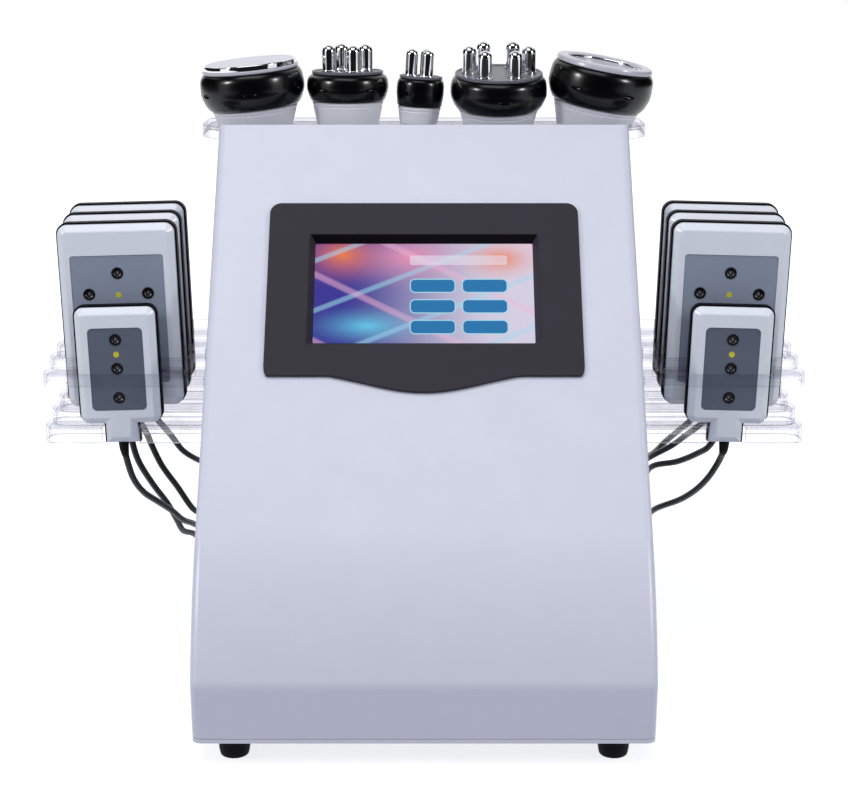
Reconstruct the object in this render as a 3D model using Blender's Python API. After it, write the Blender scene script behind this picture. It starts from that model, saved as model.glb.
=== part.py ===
"""Cavitation slimming machine for a table top, built from its separate pieces.

Metres, +Z up. X runs to the viewer's right and Y away from the viewer. The origin is on the ground,
under the middle of the machine. A moulded wedge housing carries a touch screen on its sloping face,
a clear rack with five handpieces behind its top edge, and a clear two-tier rack with four laser pads
on each side. The pad leads meet in a splitter behind the machine, whose trunk cord lies in a coil.
"""

import math
from dataclasses import dataclass

import bmesh
import bpy
from mathutils import Matrix, Vector

# Clearances shared by all pieces
CLEARANCE = 0.0003
OVERRUN = 0.004
WELD_OVERLAP = 0.0005
EDGE_BREAK = 0.0009
SMOOTH_BELOW = math.radians(35)

# Housing
HOUSING_WIDTH = 0.345
HOUSING_DEPTH = 0.400
HOUSING_WALL = 0.003
CHIN_CORNER_HEIGHT = 0.102
CHIN_RADIUS = 0.090
CHIN_SEGMENTS = 6
RIDGE_WIDTH = 0.0035
DECK_HEIGHT = 0.390
DECK_DEPTH = 0.0995
RIDGE_RISE = 0.0560
FOOT_EDGE_SETBACK = 0.004
SIDE_EDGE_RADIUS = 0.007
SIDE_EDGE_SEGMENTS = 3

# Base tray and feet
BASE_THICKNESS = 0.0032
BASE_RIM_HEIGHT = 0.012
BASE_RIM_WALL = 0.002
FOOT_HEIGHT = 0.020
FOOT_RADIUS = 0.0118
FOOT_TOP_RADIUS = 0.0108
FOOT_INSET_X = 0.029
FOOT_INSET_Y = 0.027
FOOT_SEGMENTS = 16

# Rear panel
PANEL_THICKNESS = 0.002
PANEL_RECESS = 0.0075
SOCKET_COUNT = 5
SOCKET_PITCH = 0.056
SOCKET_HEIGHT = 0.300
SOCKET_RADIUS = 0.011
SOCKET_BORE = 0.007
SOCKET_PROUD = 0.003
SOCKET_DEPTH = 0.0035
SOCKET_SEGMENTS = 12
VENT_SLOTS = 7
VENT_SLOT_HEIGHT = 0.0045
VENT_SLOT_LENGTH = 0.060
VENT_PITCH = 0.009

# Screen bezel and touch screen, on the sloping face
BEZEL_FROM_RIDGE = 0.0795
BEZEL_WIDTH = 0.252
BEZEL_HEIGHT = 0.160
BEZEL_BELLY = 0.0144
BEZEL_BELLY_WIDTH = 0.150
BEZEL_BELLY_POINTS = 11
BEZEL_CORNER = 0.0095
BEZEL_CORNER_SEGMENTS = 4
BEZEL_PROUD = 0.003
WINDOW_WIDTH = 0.176
WINDOW_HEIGHT = 0.0915
WINDOW_DRAFT = 0.005
WINDOW_DROP = 0.001
COLLAR_MARGIN = 0.009
COLLAR_DEPTH = 0.005
SCREEN_THICKNESS = 0.006
SCREEN_MARGIN = 0.007

# Handpiece rack on top
TRAY_RISE = 0.053
TRAY_PLATE = 0.003
TRAY_SKIRT = 0.011
TRAY_WALL = 0.003
TRAY_HALF_WIDTH = 0.192
TRAY_DEPTH = 0.092
TRAY_FRONT_CORNER = 0.045
TRAY_REAR_CORNER = 0.012
TRAY_CORNER_SEGMENTS = 5
TRAY_LEG_WIDTH = 0.026
TRAY_LEG_INSET = 0.018
HANDPIECE_ROW_SETBACK = 0.0477
HANDPIECE_SEGMENTS = 24

# Side racks
RACK_REAR_SETBACK = 0.097
RACK_BAY_DEPTH = 0.030
RACK_BAYS = 4
RACK_OUTREACH = 0.1365
RACK_SHEET = 0.0022
RACK_MOUNT_SHEET = 0.003
RACK_END_RADIUS = 0.010
RACK_END_SEGMENTS = 3
RACK_FIRST_STEP = 0.0068
RACK_STEP = 0.0034
LOWER_TIER_TOP = 0.2143
LOWER_TIER_SKIRT = 0.0138
UPPER_TIER_RISE = 0.0432
UPPER_TIER_SKIRT = 0.0098
RACK_MOUNT_RISE = 0.0215
RACK_EAR_WIDTH = 0.024

# Laser pads
PAD_OUTREACH = 0.074
PAD_LEAN = math.radians(1.5)
PAD_PLAY = 0.0008
PAD_CORNER_SEGMENTS = 4

# Mains inlet and power switch
INLET_X = -0.130
INLET_HEIGHT = 0.075
INLET_FLANGE_WIDTH = 0.032
INLET_FLANGE_HEIGHT = 0.058
INLET_FLANGE = 0.0025
INLET_BODY_MARGIN = 0.003
INLET_BODY_DEPTH = 0.030
INLET_SOCKET_WIDTH = 0.024
INLET_SOCKET_HEIGHT = 0.0165
INLET_SOCKET_DEPTH = 0.016
INLET_SOCKET_DROP = 0.013
SWITCH_RISE = 0.015
ROCKER_HALF_WIDTH = 0.0065
ROCKER_HALF_HEIGHT = 0.009
ROCKER_PIVOT_DEPTH = 0.003
ROCKER_PROUD = 0.0022
ROCKER_TIP_PROUD = 0.0032
ROCKER_HALF_THROW = math.radians(9)
ROCKER_POCKET_PLAY = 0.0013

# Inside
INSIDE_ROW_SETBACK = 0.090
FAN_X = 0.085
FAN_HEIGHT = 0.150
FAN_SIZE = 0.080
FAN_THICKNESS = 0.025
FAN_BORE = 0.0385
FAN_HUB_RADIUS = 0.017
FAN_HUB_LENGTH = 0.018
FAN_STRUT = 0.003
FAN_BLADES = 7
FAN_BLADE_THICKNESS = 0.0016
FAN_BLADE_CHORD = 0.017
FAN_BLADE_TIP = 0.0365
FAN_BLADE_ROOT = 0.014
FAN_BLADE_PITCH = math.radians(35)
SUPPLY_SIZE = (0.160, 0.098, 0.042)
SUPPLY_X = -0.070
PUMP_RADIUS = 0.021
PUMP_LENGTH = 0.078
PUMP_HEAD_SIZE = (0.040, 0.052, 0.048)
PUMP_BASE_SIZE = (0.110, 0.050, 0.004)
PUMP_X = 0.085
PUMP_SEGMENTS = 16
BOARD_SIZE = (0.200, 0.110, 0.0016)
BOARD_SETBACK = 0.170
BOARD_STANDOFF_HEIGHT = 0.010
BOARD_STANDOFF_SIZE = 0.007
BOARD_STANDOFF_INSET = 0.008
BOARD_CHIP_SIZE = (0.030, 0.022, 0.012)
BOARD_CHIP_PITCH = 0.055
BOARD_CHIPS = 3

# Pad leads, splitter, trunk cord and its plug
LEAD_DIAMETER = 0.0055
LEAD_STEP = 0.0148
SPLITTER_SIZE = (0.060, 0.036, 0.020)
SPLITTER_GAP = 0.024
SPLITTER_EDGE = 0.004
LEAD_LANE_PITCH = 0.007
LEAD_LANE_HEIGHT = 0.010
TRUNK_DIAMETER = 0.006
TRUNK_STEP = 0.014
ROUTE_SAMPLES = 24
COIL_TURN_GAP = 0.0006
COIL_MID_RADIUS = 0.033
COIL_TURNS = 4.75
COIL_CLIMB_TURNS = 0.5
COIL_POINTS_PER_TURN = 24
COIL_SETBACK = 0.064
PLUG_X = -0.076
PLUG_HEIGHT = 0.110
PLUG_RADIUS = 0.008
PLUG_LENGTH = 0.036
PLUG_TAIL_RADIUS = 0.005
PLUG_NOSE = 0.007
PLUG_SEGMENTS = 12
PAD_SOCKET_RADIUS = 0.0125
PAD_SOCKET_PROUD = 0.0035
PAD_SOCKET_DEPTH = 0.012
PAD_SOCKET_BODY_RADIUS = 0.0105

# Places that follow from the sizes above
HALF_WIDTH = HOUSING_WIDTH / 2
FRONT_Y = -HOUSING_DEPTH / 2
REAR_Y = HOUSING_DEPTH / 2
RIDGE_Y = REAR_Y - DECK_DEPTH
RIDGE_HEIGHT = DECK_HEIGHT + RIDGE_RISE
FACE_SLOPE = math.atan2(RIDGE_HEIGHT - CHIN_CORNER_HEIGHT, RIDGE_Y - FRONT_Y)
BASE_TOP = FOOT_HEIGHT + BASE_THICKNESS
SEAM_TOP = BASE_TOP + CLEARANCE
LIP_REAR_Y = RIDGE_Y + RIDGE_WIDTH
PANEL_OUTER_Y = REAR_Y - PANEL_RECESS
PANEL_INNER_Y = PANEL_OUTER_Y - PANEL_THICKNESS
TRAY_TOP = DECK_HEIGHT + TRAY_RISE
TRAY_FRONT_Y = LIP_REAR_Y + CLEARANCE
HANDPIECE_ROW_Y = TRAY_FRONT_Y + HANDPIECE_ROW_SETBACK
INNER_HALF_WIDTH = HALF_WIDTH - HOUSING_WALL
RACK_FRONT_Y = REAR_Y - RACK_REAR_SETBACK - RACK_BAYS * RACK_BAY_DEPTH
RACK_REACH = HALF_WIDTH + RACK_OUTREACH
UPPER_TIER_TOP = LOWER_TIER_TOP + UPPER_TIER_RISE
RACK_MOUNT_TOP = UPPER_TIER_TOP + RACK_MOUNT_RISE
PAD_CENTRE_X = HALF_WIDTH + PAD_OUTREACH
INSIDE_ROW_Y = REAR_Y - INSIDE_ROW_SETBACK
SUPPLY_PLACE = (SUPPLY_X, INSIDE_ROW_Y)
PUMP_PLACE = (PUMP_X, INSIDE_ROW_Y)
BOARD_PLACE = (0.0, INSIDE_ROW_Y - BOARD_SETBACK)
SPLITTER_Y = REAR_Y + SPLITTER_GAP
COIL_CENTRE_Y = SPLITTER_Y + COIL_SETBACK


@dataclass(frozen=True)
class Handpiece:
    """Sizes of one handpiece. Heights are along its own axis, from the top of the rack's plate."""

    name: str
    across: float
    roll: float
    lean: float
    tail_depth: float
    tail_radius: float
    seat_radius: float
    collar_radius: float
    ring_bottom: float
    ring_height: float
    ring_foot_radius: float
    ring_radius: float
    ring_top_radius: float
    bore_radius: float
    head_height: float
    pins: int = 0
    pin_radius: float = 0.0
    pin_height: float = 0.0
    pin_circle: float = 0.0
    pin_turn: float = 0.0
    cup_radius: float = 0.0
    cup_depth: float = 0.0


@dataclass(frozen=True)
class UltrasonicHandpiece(Handpiece):
    """The large round handpiece with a flat disc, at the left end of the row."""

    name: str = "ultrasonic"
    across: float = -0.1454
    roll: float = math.radians(-5.5)
    lean: float = math.radians(2)
    tail_depth: float = 0.042
    tail_radius: float = 0.021
    seat_radius: float = 0.0325
    collar_radius: float = 0.0375
    ring_bottom: float = 0.0138
    ring_height: float = 0.0312
    ring_foot_radius: float = 0.0385
    ring_radius: float = 0.045
    ring_top_radius: float = 0.0415
    bore_radius: float = 0.030
    head_height: float = 0.0082


@dataclass(frozen=True)
class FourPoleHandpiece(Handpiece):
    """The handpiece with four electrode pins."""

    name: str = "four_pole"
    across: float = -0.066
    roll: float = 0.0
    lean: float = 0.0
    tail_depth: float = 0.042
    tail_radius: float = 0.017
    seat_radius: float = 0.027
    collar_radius: float = 0.031
    ring_bottom: float = 0.0188
    ring_height: float = 0.0231
    ring_foot_radius: float = 0.0315
    ring_radius: float = 0.0353
    ring_top_radius: float = 0.0308
    bore_radius: float = 0.025
    head_height: float = 0.0028
    pins: int = 4
    pin_radius: float = 0.006
    pin_height: float = 0.022
    pin_circle: float = 0.0165
    pin_turn: float = math.radians(-70)


@dataclass(frozen=True)
class ThreePoleHandpiece(Handpiece):
    """The slim handpiece with three electrode pins."""

    name: str = "three_pole"
    across: float = -0.0049
    roll: float = math.radians(3.5)
    lean: float = 0.0
    tail_depth: float = 0.042
    tail_radius: float = 0.011
    seat_radius: float = 0.0162
    collar_radius: float = 0.019
    ring_bottom: float = 0.0142
    ring_height: float = 0.0234
    ring_foot_radius: float = 0.0192
    ring_radius: float = 0.0206
    ring_top_radius: float = 0.0186
    bore_radius: float = 0.0150
    head_height: float = 0.0026
    pins: int = 3
    pin_radius: float = 0.0052
    pin_height: float = 0.0225
    pin_circle: float = 0.0088
    pin_turn: float = math.radians(-55)


@dataclass(frozen=True)
class SixPoleHandpiece(Handpiece):
    """The handpiece with six electrode pins in a ring."""

    name: str = "six_pole"
    across: float = 0.0645
    roll: float = 0.0
    lean: float = math.radians(7)
    tail_depth: float = 0.042
    tail_radius: float = 0.020
    seat_radius: float = 0.0308
    collar_radius: float = 0.0343
    ring_bottom: float = 0.0119
    ring_height: float = 0.0288
    ring_foot_radius: float = 0.0348
    ring_radius: float = 0.0418
    ring_top_radius: float = 0.0378
    bore_radius: float = 0.0335
    head_height: float = 0.0030
    pins: int = 6
    pin_radius: float = 0.006
    pin_height: float = 0.0225
    pin_circle: float = 0.0255
    pin_turn: float = math.radians(-60)


@dataclass(frozen=True)
class VacuumHandpiece(Handpiece):
    """The handpiece with a suction cup, at the right end of the row."""

    name: str = "vacuum"
    across: float = 0.1464
    roll: float = math.radians(10.5)
    lean: float = math.radians(3.5)
    tail_depth: float = 0.042
    tail_radius: float = 0.021
    seat_radius: float = 0.0325
    collar_radius: float = 0.0375
    ring_bottom: float = 0.0157
    ring_height: float = 0.0331
    ring_foot_radius: float = 0.0385
    ring_radius: float = 0.045
    ring_top_radius: float = 0.0415
    bore_radius: float = 0.035
    head_height: float = 0.0052
    cup_radius: float = 0.030
    cup_depth: float = 0.014


HANDPIECES = (
    UltrasonicHandpiece(),
    FourPoleHandpiece(),
    ThreePoleHandpiece(),
    SixPoleHandpiece(),
    VacuumHandpiece(),
)

# Sizes that all handpieces share
TAIL_GLAND_RADIUS = 0.006
TAIL_GLAND_LENGTH = 0.006
HEAD_SPIGOT = 0.004
CUP_FLOOR = 0.003
DISC_RIM_HEIGHT = 0.003
DISC_INSET = 0.0016
PIN_SEGMENTS = 10
RING_BULGE_SHARES = ((0.0, 0.0), (0.22, 0.62), (0.50, 1.0), (0.78, 0.86), (1.0, 0.0))
PIN_DOME_SHARES = ((0.86, 0.50), (0.50, 0.86), (0.0, 1.0))


@dataclass(frozen=True)
class Pad:
    """Sizes of one laser pad. The neck stands under its lower edge and takes the lead."""

    name: str
    bay: int
    width: float
    height: float
    thickness: float
    corner: float
    chamfer: float
    chamfer_depth: float
    neck_width: float
    neck_length: float
    front_gap: float


@dataclass(frozen=True)
class LargePad(Pad):
    """The pad that three bays of each rack hold, one behind the other."""

    name: str = "front"
    bay: int = 1
    width: float = 0.098
    height: float = 0.153
    thickness: float = 0.018
    corner: float = 0.0095
    chamfer: float = 0.0055
    chamfer_depth: float = 0.004
    neck_width: float = 0.036
    neck_length: float = 0.0135
    front_gap: float = 0.004


@dataclass(frozen=True)
class SmallPad(Pad):
    """The pad in the front bay of each rack."""

    name: str = "small"
    bay: int = 0
    width: float = 0.068
    height: float = 0.0975
    thickness: float = 0.015
    corner: float = 0.0085
    chamfer: float = 0.004
    chamfer_depth: float = 0.003
    neck_width: float = 0.029
    neck_length: float = 0.0165
    front_gap: float = 0.0045


PADS = (
    SmallPad(),
    LargePad(name="front", bay=1),
    LargePad(name="middle", bay=2),
    LargePad(name="back", bay=3),
)

# Housing that the routes below were laid round, and which they follow when its size changes
ROUTE_HALF_WIDTH = 0.1725
ROUTE_REAR_Y = 0.200

# Lane of each pad lead at the splitter's end, and its route from under the pad to near there
LEAD_LANES = {
    "left_small": 1,
    "left_front": 0,
    "left_middle": 2,
    "left_back": 3,
    "right_small": 0,
    "right_front": 1,
    "right_middle": 2,
    "right_back": 3,
}
LEAD_ROUTES = {
    "left_small": (
        (-0.2445, 0.0060, 0.1739),
        (-0.2426, 0.0160, 0.1600),
        (-0.2376, 0.0320, 0.1441),
        (-0.2294, 0.0550, 0.1283),
        (-0.2218, 0.0800, 0.1124),
        (-0.2155, 0.1050, 0.0954),
        (-0.2103, 0.1350, 0.0818),
        (-0.2070, 0.1700, 0.0650),
        (-0.2030, 0.2050, 0.0450),
        (-0.1970, 0.2320, 0.0250),
        (-0.1860, 0.2520, 0.0090),
        (-0.1680, 0.2590, 0.0030),
        (-0.1350, 0.2500, 0.0030),
        (-0.1000, 0.2340, 0.0030),
        (-0.0600, 0.2220, 0.0030),
    ),
    "left_front": (
        (-0.2446, 0.0320, 0.1845),
        (-0.2422, 0.0411, 0.1685),
        (-0.2342, 0.0632, 0.1412),
        (-0.2262, 0.0890, 0.1157),
        (-0.2213, 0.1090, 0.0940),
        (-0.2190, 0.1270, 0.0782),
        (-0.2139, 0.1590, 0.0641),
        (-0.2102, 0.1940, 0.0449),
        (-0.2030, 0.2150, 0.0280),
        (-0.1920, 0.2360, 0.0110),
        (-0.1750, 0.2430, 0.0030),
        (-0.1400, 0.2350, 0.0030),
        (-0.1000, 0.2220, 0.0030),
        (-0.0600, 0.2140, 0.0030),
    ),
    "left_middle": (
        (-0.2385, 0.0620, 0.1890),
        (-0.2348, 0.0700, 0.1737),
        (-0.2292, 0.0832, 0.1526),
        (-0.2195, 0.1043, 0.1269),
        (-0.2093, 0.1310, 0.0969),
        (-0.2048, 0.1660, 0.0820),
        (-0.2027, 0.2010, 0.0660),
        (-0.1980, 0.2280, 0.0470),
        (-0.1900, 0.2540, 0.0240),
        (-0.1760, 0.2700, 0.0070),
        (-0.1550, 0.2730, 0.0030),
        (-0.1250, 0.2620, 0.0030),
        (-0.0950, 0.2460, 0.0030),
        (-0.0600, 0.2290, 0.0030),
    ),
    "left_back": (
        (-0.2320, 0.0920, 0.1905),
        (-0.2229, 0.1040, 0.1736),
        (-0.2160, 0.1200, 0.1560),
        (-0.2062, 0.1450, 0.1397),
        (-0.2000, 0.1800, 0.1260),
        (-0.1970, 0.2150, 0.1040),
        (-0.1940, 0.2430, 0.0740),
        (-0.1900, 0.2640, 0.0440),
        (-0.1820, 0.2820, 0.0180),
        (-0.1660, 0.2930, 0.0040),
        (-0.1400, 0.2880, 0.0030),
        (-0.1100, 0.2700, 0.0030),
        (-0.0850, 0.2510, 0.0030),
        (-0.0600, 0.2370, 0.0030),
    ),
    "right_small": (
        (0.2458, 0.0080, 0.1810),
        (0.2409, 0.0250, 0.1615),
        (0.2345, 0.0480, 0.1426),
        (0.2253, 0.0780, 0.1234),
        (0.2094, 0.1250, 0.0991),
        (0.2060, 0.1600, 0.0800),
        (0.2040, 0.1900, 0.0590),
        (0.2000, 0.2160, 0.0360),
        (0.1910, 0.2360, 0.0140),
        (0.1740, 0.2430, 0.0030),
        (0.1400, 0.2350, 0.0030),
        (0.1000, 0.2220, 0.0030),
        (0.0600, 0.2140, 0.0030),
    ),
    "right_front": (
        (0.2445, 0.0310, 0.1930),
        (0.2410, 0.0400, 0.1818),
        (0.2353, 0.0600, 0.1702),
        (0.2229, 0.0950, 0.1524),
        (0.2072, 0.1350, 0.1364),
        (0.2040, 0.1700, 0.1160),
        (0.2020, 0.2030, 0.0880),
        (0.1990, 0.2310, 0.0540),
        (0.1920, 0.2500, 0.0240),
        (0.1780, 0.2600, 0.0060),
        (0.1600, 0.2590, 0.0030),
        (0.1300, 0.2480, 0.0030),
        (0.1000, 0.2340, 0.0030),
        (0.0600, 0.2220, 0.0030),
    ),
    "right_middle": (
        (0.2359, 0.0700, 0.1911),
        (0.2290, 0.0850, 0.1800),
        (0.2200, 0.1070, 0.1640),
        (0.2076, 0.1400, 0.1450),
        (0.2020, 0.1750, 0.1270),
        (0.1990, 0.2100, 0.1010),
        (0.1960, 0.2400, 0.0660),
        (0.1910, 0.2600, 0.0330),
        (0.1800, 0.2750, 0.0100),
        (0.1600, 0.2760, 0.0030),
        (0.1280, 0.2600, 0.0030),
        (0.0950, 0.2400, 0.0030),
        (0.0600, 0.2290, 0.0030),
    ),
    "right_back": (
        (0.2325, 0.0930, 0.1900),
        (0.2240, 0.1100, 0.1755),
        (0.2170, 0.1300, 0.1610),
        (0.2110, 0.1650, 0.1400),
        (0.2050, 0.2000, 0.1230),
        (0.1990, 0.2330, 0.0960),
        (0.1950, 0.2580, 0.0640),
        (0.1890, 0.2770, 0.0320),
        (0.1770, 0.2910, 0.0090),
        (0.1580, 0.2920, 0.0030),
        (0.1330, 0.2800, 0.0030),
        (0.1080, 0.2620, 0.0030),
        (0.0850, 0.2480, 0.0030),
        (0.0600, 0.2370, 0.0030),
    ),
}


# Route of the trunk, from the coil's outer end to the plug
TRUNK_ROUTE = (
    (0.0000, 0.2490, 0.0099),
    (-0.0250, 0.2550, 0.0070),
    (-0.0460, 0.2680, 0.0034),
    (-0.0640, 0.2880, 0.0060),
    (-0.0760, 0.3060, 0.0220),
    (-0.0800, 0.3120, 0.0480),
    (-0.0780, 0.3030, 0.0780),
    (-0.0764, 0.2810, 0.1000),
)


def clear_scene():
    """Remove every object of the scene."""
    for found in list(bpy.data.objects):
        bpy.data.objects.remove(found, do_unlink=True)


def make_material(name, colour, roughness, metallic=0.0, alpha=1.0):
    """A Principled material."""
    material = bpy.data.materials.new(name)
    material.use_nodes = True
    shader = material.node_tree.nodes["Principled BSDF"]
    shader.inputs["Base Color"].default_value = (*colour, 1.0)
    shader.inputs["Roughness"].default_value = roughness
    shader.inputs["Metallic"].default_value = metallic
    shader.inputs["Alpha"].default_value = alpha
    material.diffuse_color = (*colour, alpha)
    return material


def finish_mesh(name, shape):
    """Turn a bmesh into a mesh whose faces point out and whose round sides are smooth."""
    bmesh.ops.recalc_face_normals(shape, faces=shape.faces[:])
    mesh = bpy.data.meshes.new(name)
    shape.to_mesh(mesh)
    shape.free()
    mesh.shade_smooth()
    mesh.set_sharp_from_angle(angle=SMOOTH_BELOW)
    return mesh


def add_object(name, mesh, material=None, matrix=None):
    """Link a mesh into the scene under a name."""
    made = bpy.data.objects.new(name, mesh)
    bpy.context.scene.collection.objects.link(made)
    if material:
        made.data.materials.append(material)
    if matrix:
        made.matrix_world = matrix
    return made


def hide_helper(helper):
    """Mark an object as a cutter or a guide."""
    helper.hide_render = True
    helper.display_type = "WIRE"
    return helper


def combine(target, operand, operation):
    """Add an exact Boolean of one object with another, which becomes a helper."""
    modifier = target.modifiers.new(f"{operation}_{operand.name}", "BOOLEAN")
    modifier.object = hide_helper(operand)
    modifier.operation = operation
    modifier.solver = "EXACT"


def cut(target, *operands):
    """Cut each operand out of the target."""
    for operand in operands:
        combine(target, operand, "DIFFERENCE")


def join(target, *operands):
    """Join each operand to the target."""
    for operand in operands:
        combine(target, operand, "UNION")


def arc(centre, radius, start, end, segments):
    """Points of an arc, both ends included, with its angles in radians."""
    return [
        (
            centre[0] + radius * math.cos(start + (end - start) * step / segments),
            centre[1] + radius * math.sin(start + (end - start) * step / segments),
        )
        for step in range(segments + 1)
    ]


def rounded_rectangle(low, high, radii, segments):
    """Outline with its own radius at each corner, from the lower left one anticlockwise."""
    corners = (
        (low[0], low[1], 1, 1, math.pi),
        (high[0], low[1], -1, 1, 1.5 * math.pi),
        (high[0], high[1], -1, -1, 0.0),
        (low[0], high[1], 1, -1, 0.5 * math.pi),
    )
    outline = []
    for (x, y, way_x, way_y, start), radius in zip(corners, radii):
        if radius:
            centre = (x + way_x * radius, y + way_y * radius)
            outline += arc(centre, radius, start, start + math.pi / 2, segments)
        else:
            outline.append((x, y))
    return outline


def prism_shape(outline, low, high):
    """A bmesh of an outline in local XY, drawn out along local Z."""
    shape = bmesh.new()
    bottom = [shape.verts.new((x, y, low)) for x, y in outline]
    top = [shape.verts.new((x, y, high)) for x, y in outline]
    shape.faces.new(bottom)
    shape.faces.new(top)
    count = len(outline)
    for index in range(count):
        after = (index + 1) % count
        shape.faces.new((bottom[index], bottom[after], top[after], top[index]))
    return shape


def prism(name, outline, low, high, material=None, matrix=None):
    """An object drawn out from an outline."""
    return add_object(name, finish_mesh(name, prism_shape(outline, low, high)), material, matrix)


def block(name, low, high, material=None, matrix=None):
    """A box between two corners."""
    outline = ((low[0], low[1]), (high[0], low[1]), (high[0], high[1]), (low[0], high[1]))
    return prism(name, outline, low[2], high[2], material, matrix)


def centred_block(name, centre, size, material=None, matrix=None):
    """A box about a centre."""
    low = [middle - length / 2 for middle, length in zip(centre, size)]
    high = [middle + length / 2 for middle, length in zip(centre, size)]
    return block(name, low, high, material, matrix)


def turned(name, profile, segments, material=None, matrix=None, closed=False):
    """A body turned about local Z from a profile of radius and height, lowest point first.

    A closed profile makes a ring with a bore. An open one ends on the axis, or in a flat face.
    """
    shape = bmesh.new()
    rings = []
    for radius, height in profile:
        if radius == 0:
            rings.append([shape.verts.new((0, 0, height))])
            continue
        rings.append(
            [
                shape.verts.new((radius * math.cos(turn), radius * math.sin(turn), height))
                for turn in (math.tau * step / segments for step in range(segments))
            ]
        )
    pairs = list(zip(rings, rings[1:]))
    if closed:
        pairs.append((rings[-1], rings[0]))
    else:
        for end in (rings[0], rings[-1]):
            if len(end) > 1:
                shape.faces.new(end)
    for lower, upper in pairs:
        for step in range(segments):
            after = (step + 1) % segments
            corners = [lower[step % len(lower)], lower[after % len(lower)]]
            corners += [upper[after % len(upper)], upper[step % len(upper)]]
            shape.faces.new(list(dict.fromkeys(corners)))
    return add_object(name, finish_mesh(name, shape), material, matrix)


def side_matrix():
    """Local X to world Y, local Y to world Z and local Z to world X."""
    return Matrix(((0, 0, 1, 0), (1, 0, 0, 0), (0, 1, 0, 0), (0, 0, 0, 1)))


def facing_matrix(x, y, z):
    """Local XY upright at a place, with local Z towards the viewer."""
    return Matrix(((1, 0, 0, x), (0, 0, -1, y), (0, 1, 0, z), (0, 0, 0, 1)))


def rearward_matrix(x, y, z):
    """Local Z towards the rear, for round pieces of the rear panel."""
    return Matrix(((-1, 0, 0, x), (0, 0, 1, y), (0, 1, 0, z), (0, 0, 0, 1)))


def face_matrix(down_slope):
    """Local XY in the sloping face, at a distance down from the ridge, and local Z out of it."""
    along = Vector((0, math.cos(FACE_SLOPE), math.sin(FACE_SLOPE)))
    out = Vector((0, -math.sin(FACE_SLOPE), math.cos(FACE_SLOPE)))
    centre = Vector((0, RIDGE_Y, RIDGE_HEIGHT)) - along * down_slope
    rows = [(1, along[0], out[0]), (0, along[1], out[1]), (0, along[2], out[2])]
    return Matrix([(*row, place) for row, place in zip(rows, centre)] + [(0, 0, 0, 1)])


def slope_height(y, inset):
    """Height of the sloping face at a depth, or of its inner side at an inset."""
    rise = (y - FRONT_Y) * math.tan(FACE_SLOPE)
    return CHIN_CORNER_HEIGHT + rise - inset / math.cos(FACE_SLOPE)


def wedge_outline(inset, bottom, rear):
    """Side outline of the wedge before its top is stepped, or of its hollow at an inset."""
    turn = math.pi / 2 - FACE_SLOPE
    tangent = CHIN_RADIUS * math.tan(turn / 2)
    centre = (FRONT_Y + CHIN_RADIUS, CHIN_CORNER_HEIGHT - tangent)
    seam_y = FRONT_Y + FOOT_EDGE_SETBACK
    start_y = FRONT_Y + inset
    setback = FOOT_EDGE_SETBACK * (SEAM_TOP - bottom) / (centre[1] - SEAM_TOP)
    outline = [(seam_y + inset + setback, bottom)]
    outline += arc(centre, FRONT_Y + CHIN_RADIUS - start_y, math.pi, math.pi - turn, CHIN_SEGMENTS)
    outline += [(rear, slope_height(rear, inset)), (rear, bottom)]
    return outline


def wedge(name, inset, bottom, rear, material=None):
    """The wedge body, whose side edges along the front and face are rounded."""
    outline = wedge_outline(inset, bottom, rear)
    half = HALF_WIDTH - inset
    shape = prism_shape(outline, -half, half)
    radius = max(SIDE_EDGE_RADIUS - inset, HOUSING_WALL / 4)
    front = {(round(x, 6), round(y, 6)) for x, y in outline[:-1]}
    edges = [
        edge
        for edge in shape.edges
        if abs(abs(edge.verts[0].co.z) - half) < CLEARANCE
        and abs(edge.verts[0].co.z - edge.verts[1].co.z) < CLEARANCE
        and all((round(v.co.x, 6), round(v.co.y, 6)) in front for v in edge.verts)
    ]
    bmesh.ops.bevel(
        shape,
        geom=edges,
        offset=radius,
        offset_type="OFFSET",
        segments=SIDE_EDGE_SEGMENTS,
        profile=0.5,
        affect="EDGES",
        clamp_overlap=True,
    )
    return add_object(name, finish_mesh(name, shape), material, side_matrix())


def top_cutter(name, inset):
    """What the step of the top leaves out, above the ridge and above the deck behind it."""
    apex = slope_height(REAR_Y, 0) + OVERRUN
    rear = REAR_Y + OVERRUN * 2
    front = RIDGE_Y - (apex - RIDGE_HEIGHT)
    ridge = RIDGE_HEIGHT - inset
    lip = LIP_REAR_Y - inset
    deck = DECK_HEIGHT - inset
    outline = ((front, ridge), (lip, ridge), (lip, deck), (rear, deck), (rear, apex), (front, apex))
    half = HALF_WIDTH + OVERRUN
    return prism(name, outline, -half, half, matrix=side_matrix())


def window_place():
    """Distance from the ridge down to the middle of the screen window."""
    return BEZEL_FROM_RIDGE + BEZEL_HEIGHT / 2 + WINDOW_DROP


def collar_size(margin):
    """Half width and half height of the bezel's collar, or of a hole a margin larger."""
    half_width = WINDOW_WIDTH / 2 + COLLAR_MARGIN + margin
    return half_width, WINDOW_HEIGHT / 2 + COLLAR_MARGIN + margin


def build_housing(material):
    """Moulded cover, open at the bottom and at the rear."""
    cover = wedge("housing_cover", 0.0, SEAM_TOP, REAR_Y, material)
    cut(cover, top_cutter("top_cut", 0.0))
    hollow = wedge("housing_hollow", HOUSING_WALL, SEAM_TOP - OVERRUN, REAR_Y + OVERRUN)
    cut(hollow, top_cutter("hollow_top_cut", HOUSING_WALL))
    cut(cover, hollow)
    half_width, half_height = collar_size(CLEARANCE)
    depth = HOUSING_WALL + OVERRUN
    low = (-half_width, -half_height, -depth)
    high = (half_width, half_height, OVERRUN)
    cut(cover, block("screen_cut", low, high, matrix=face_matrix(window_place())))


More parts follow.
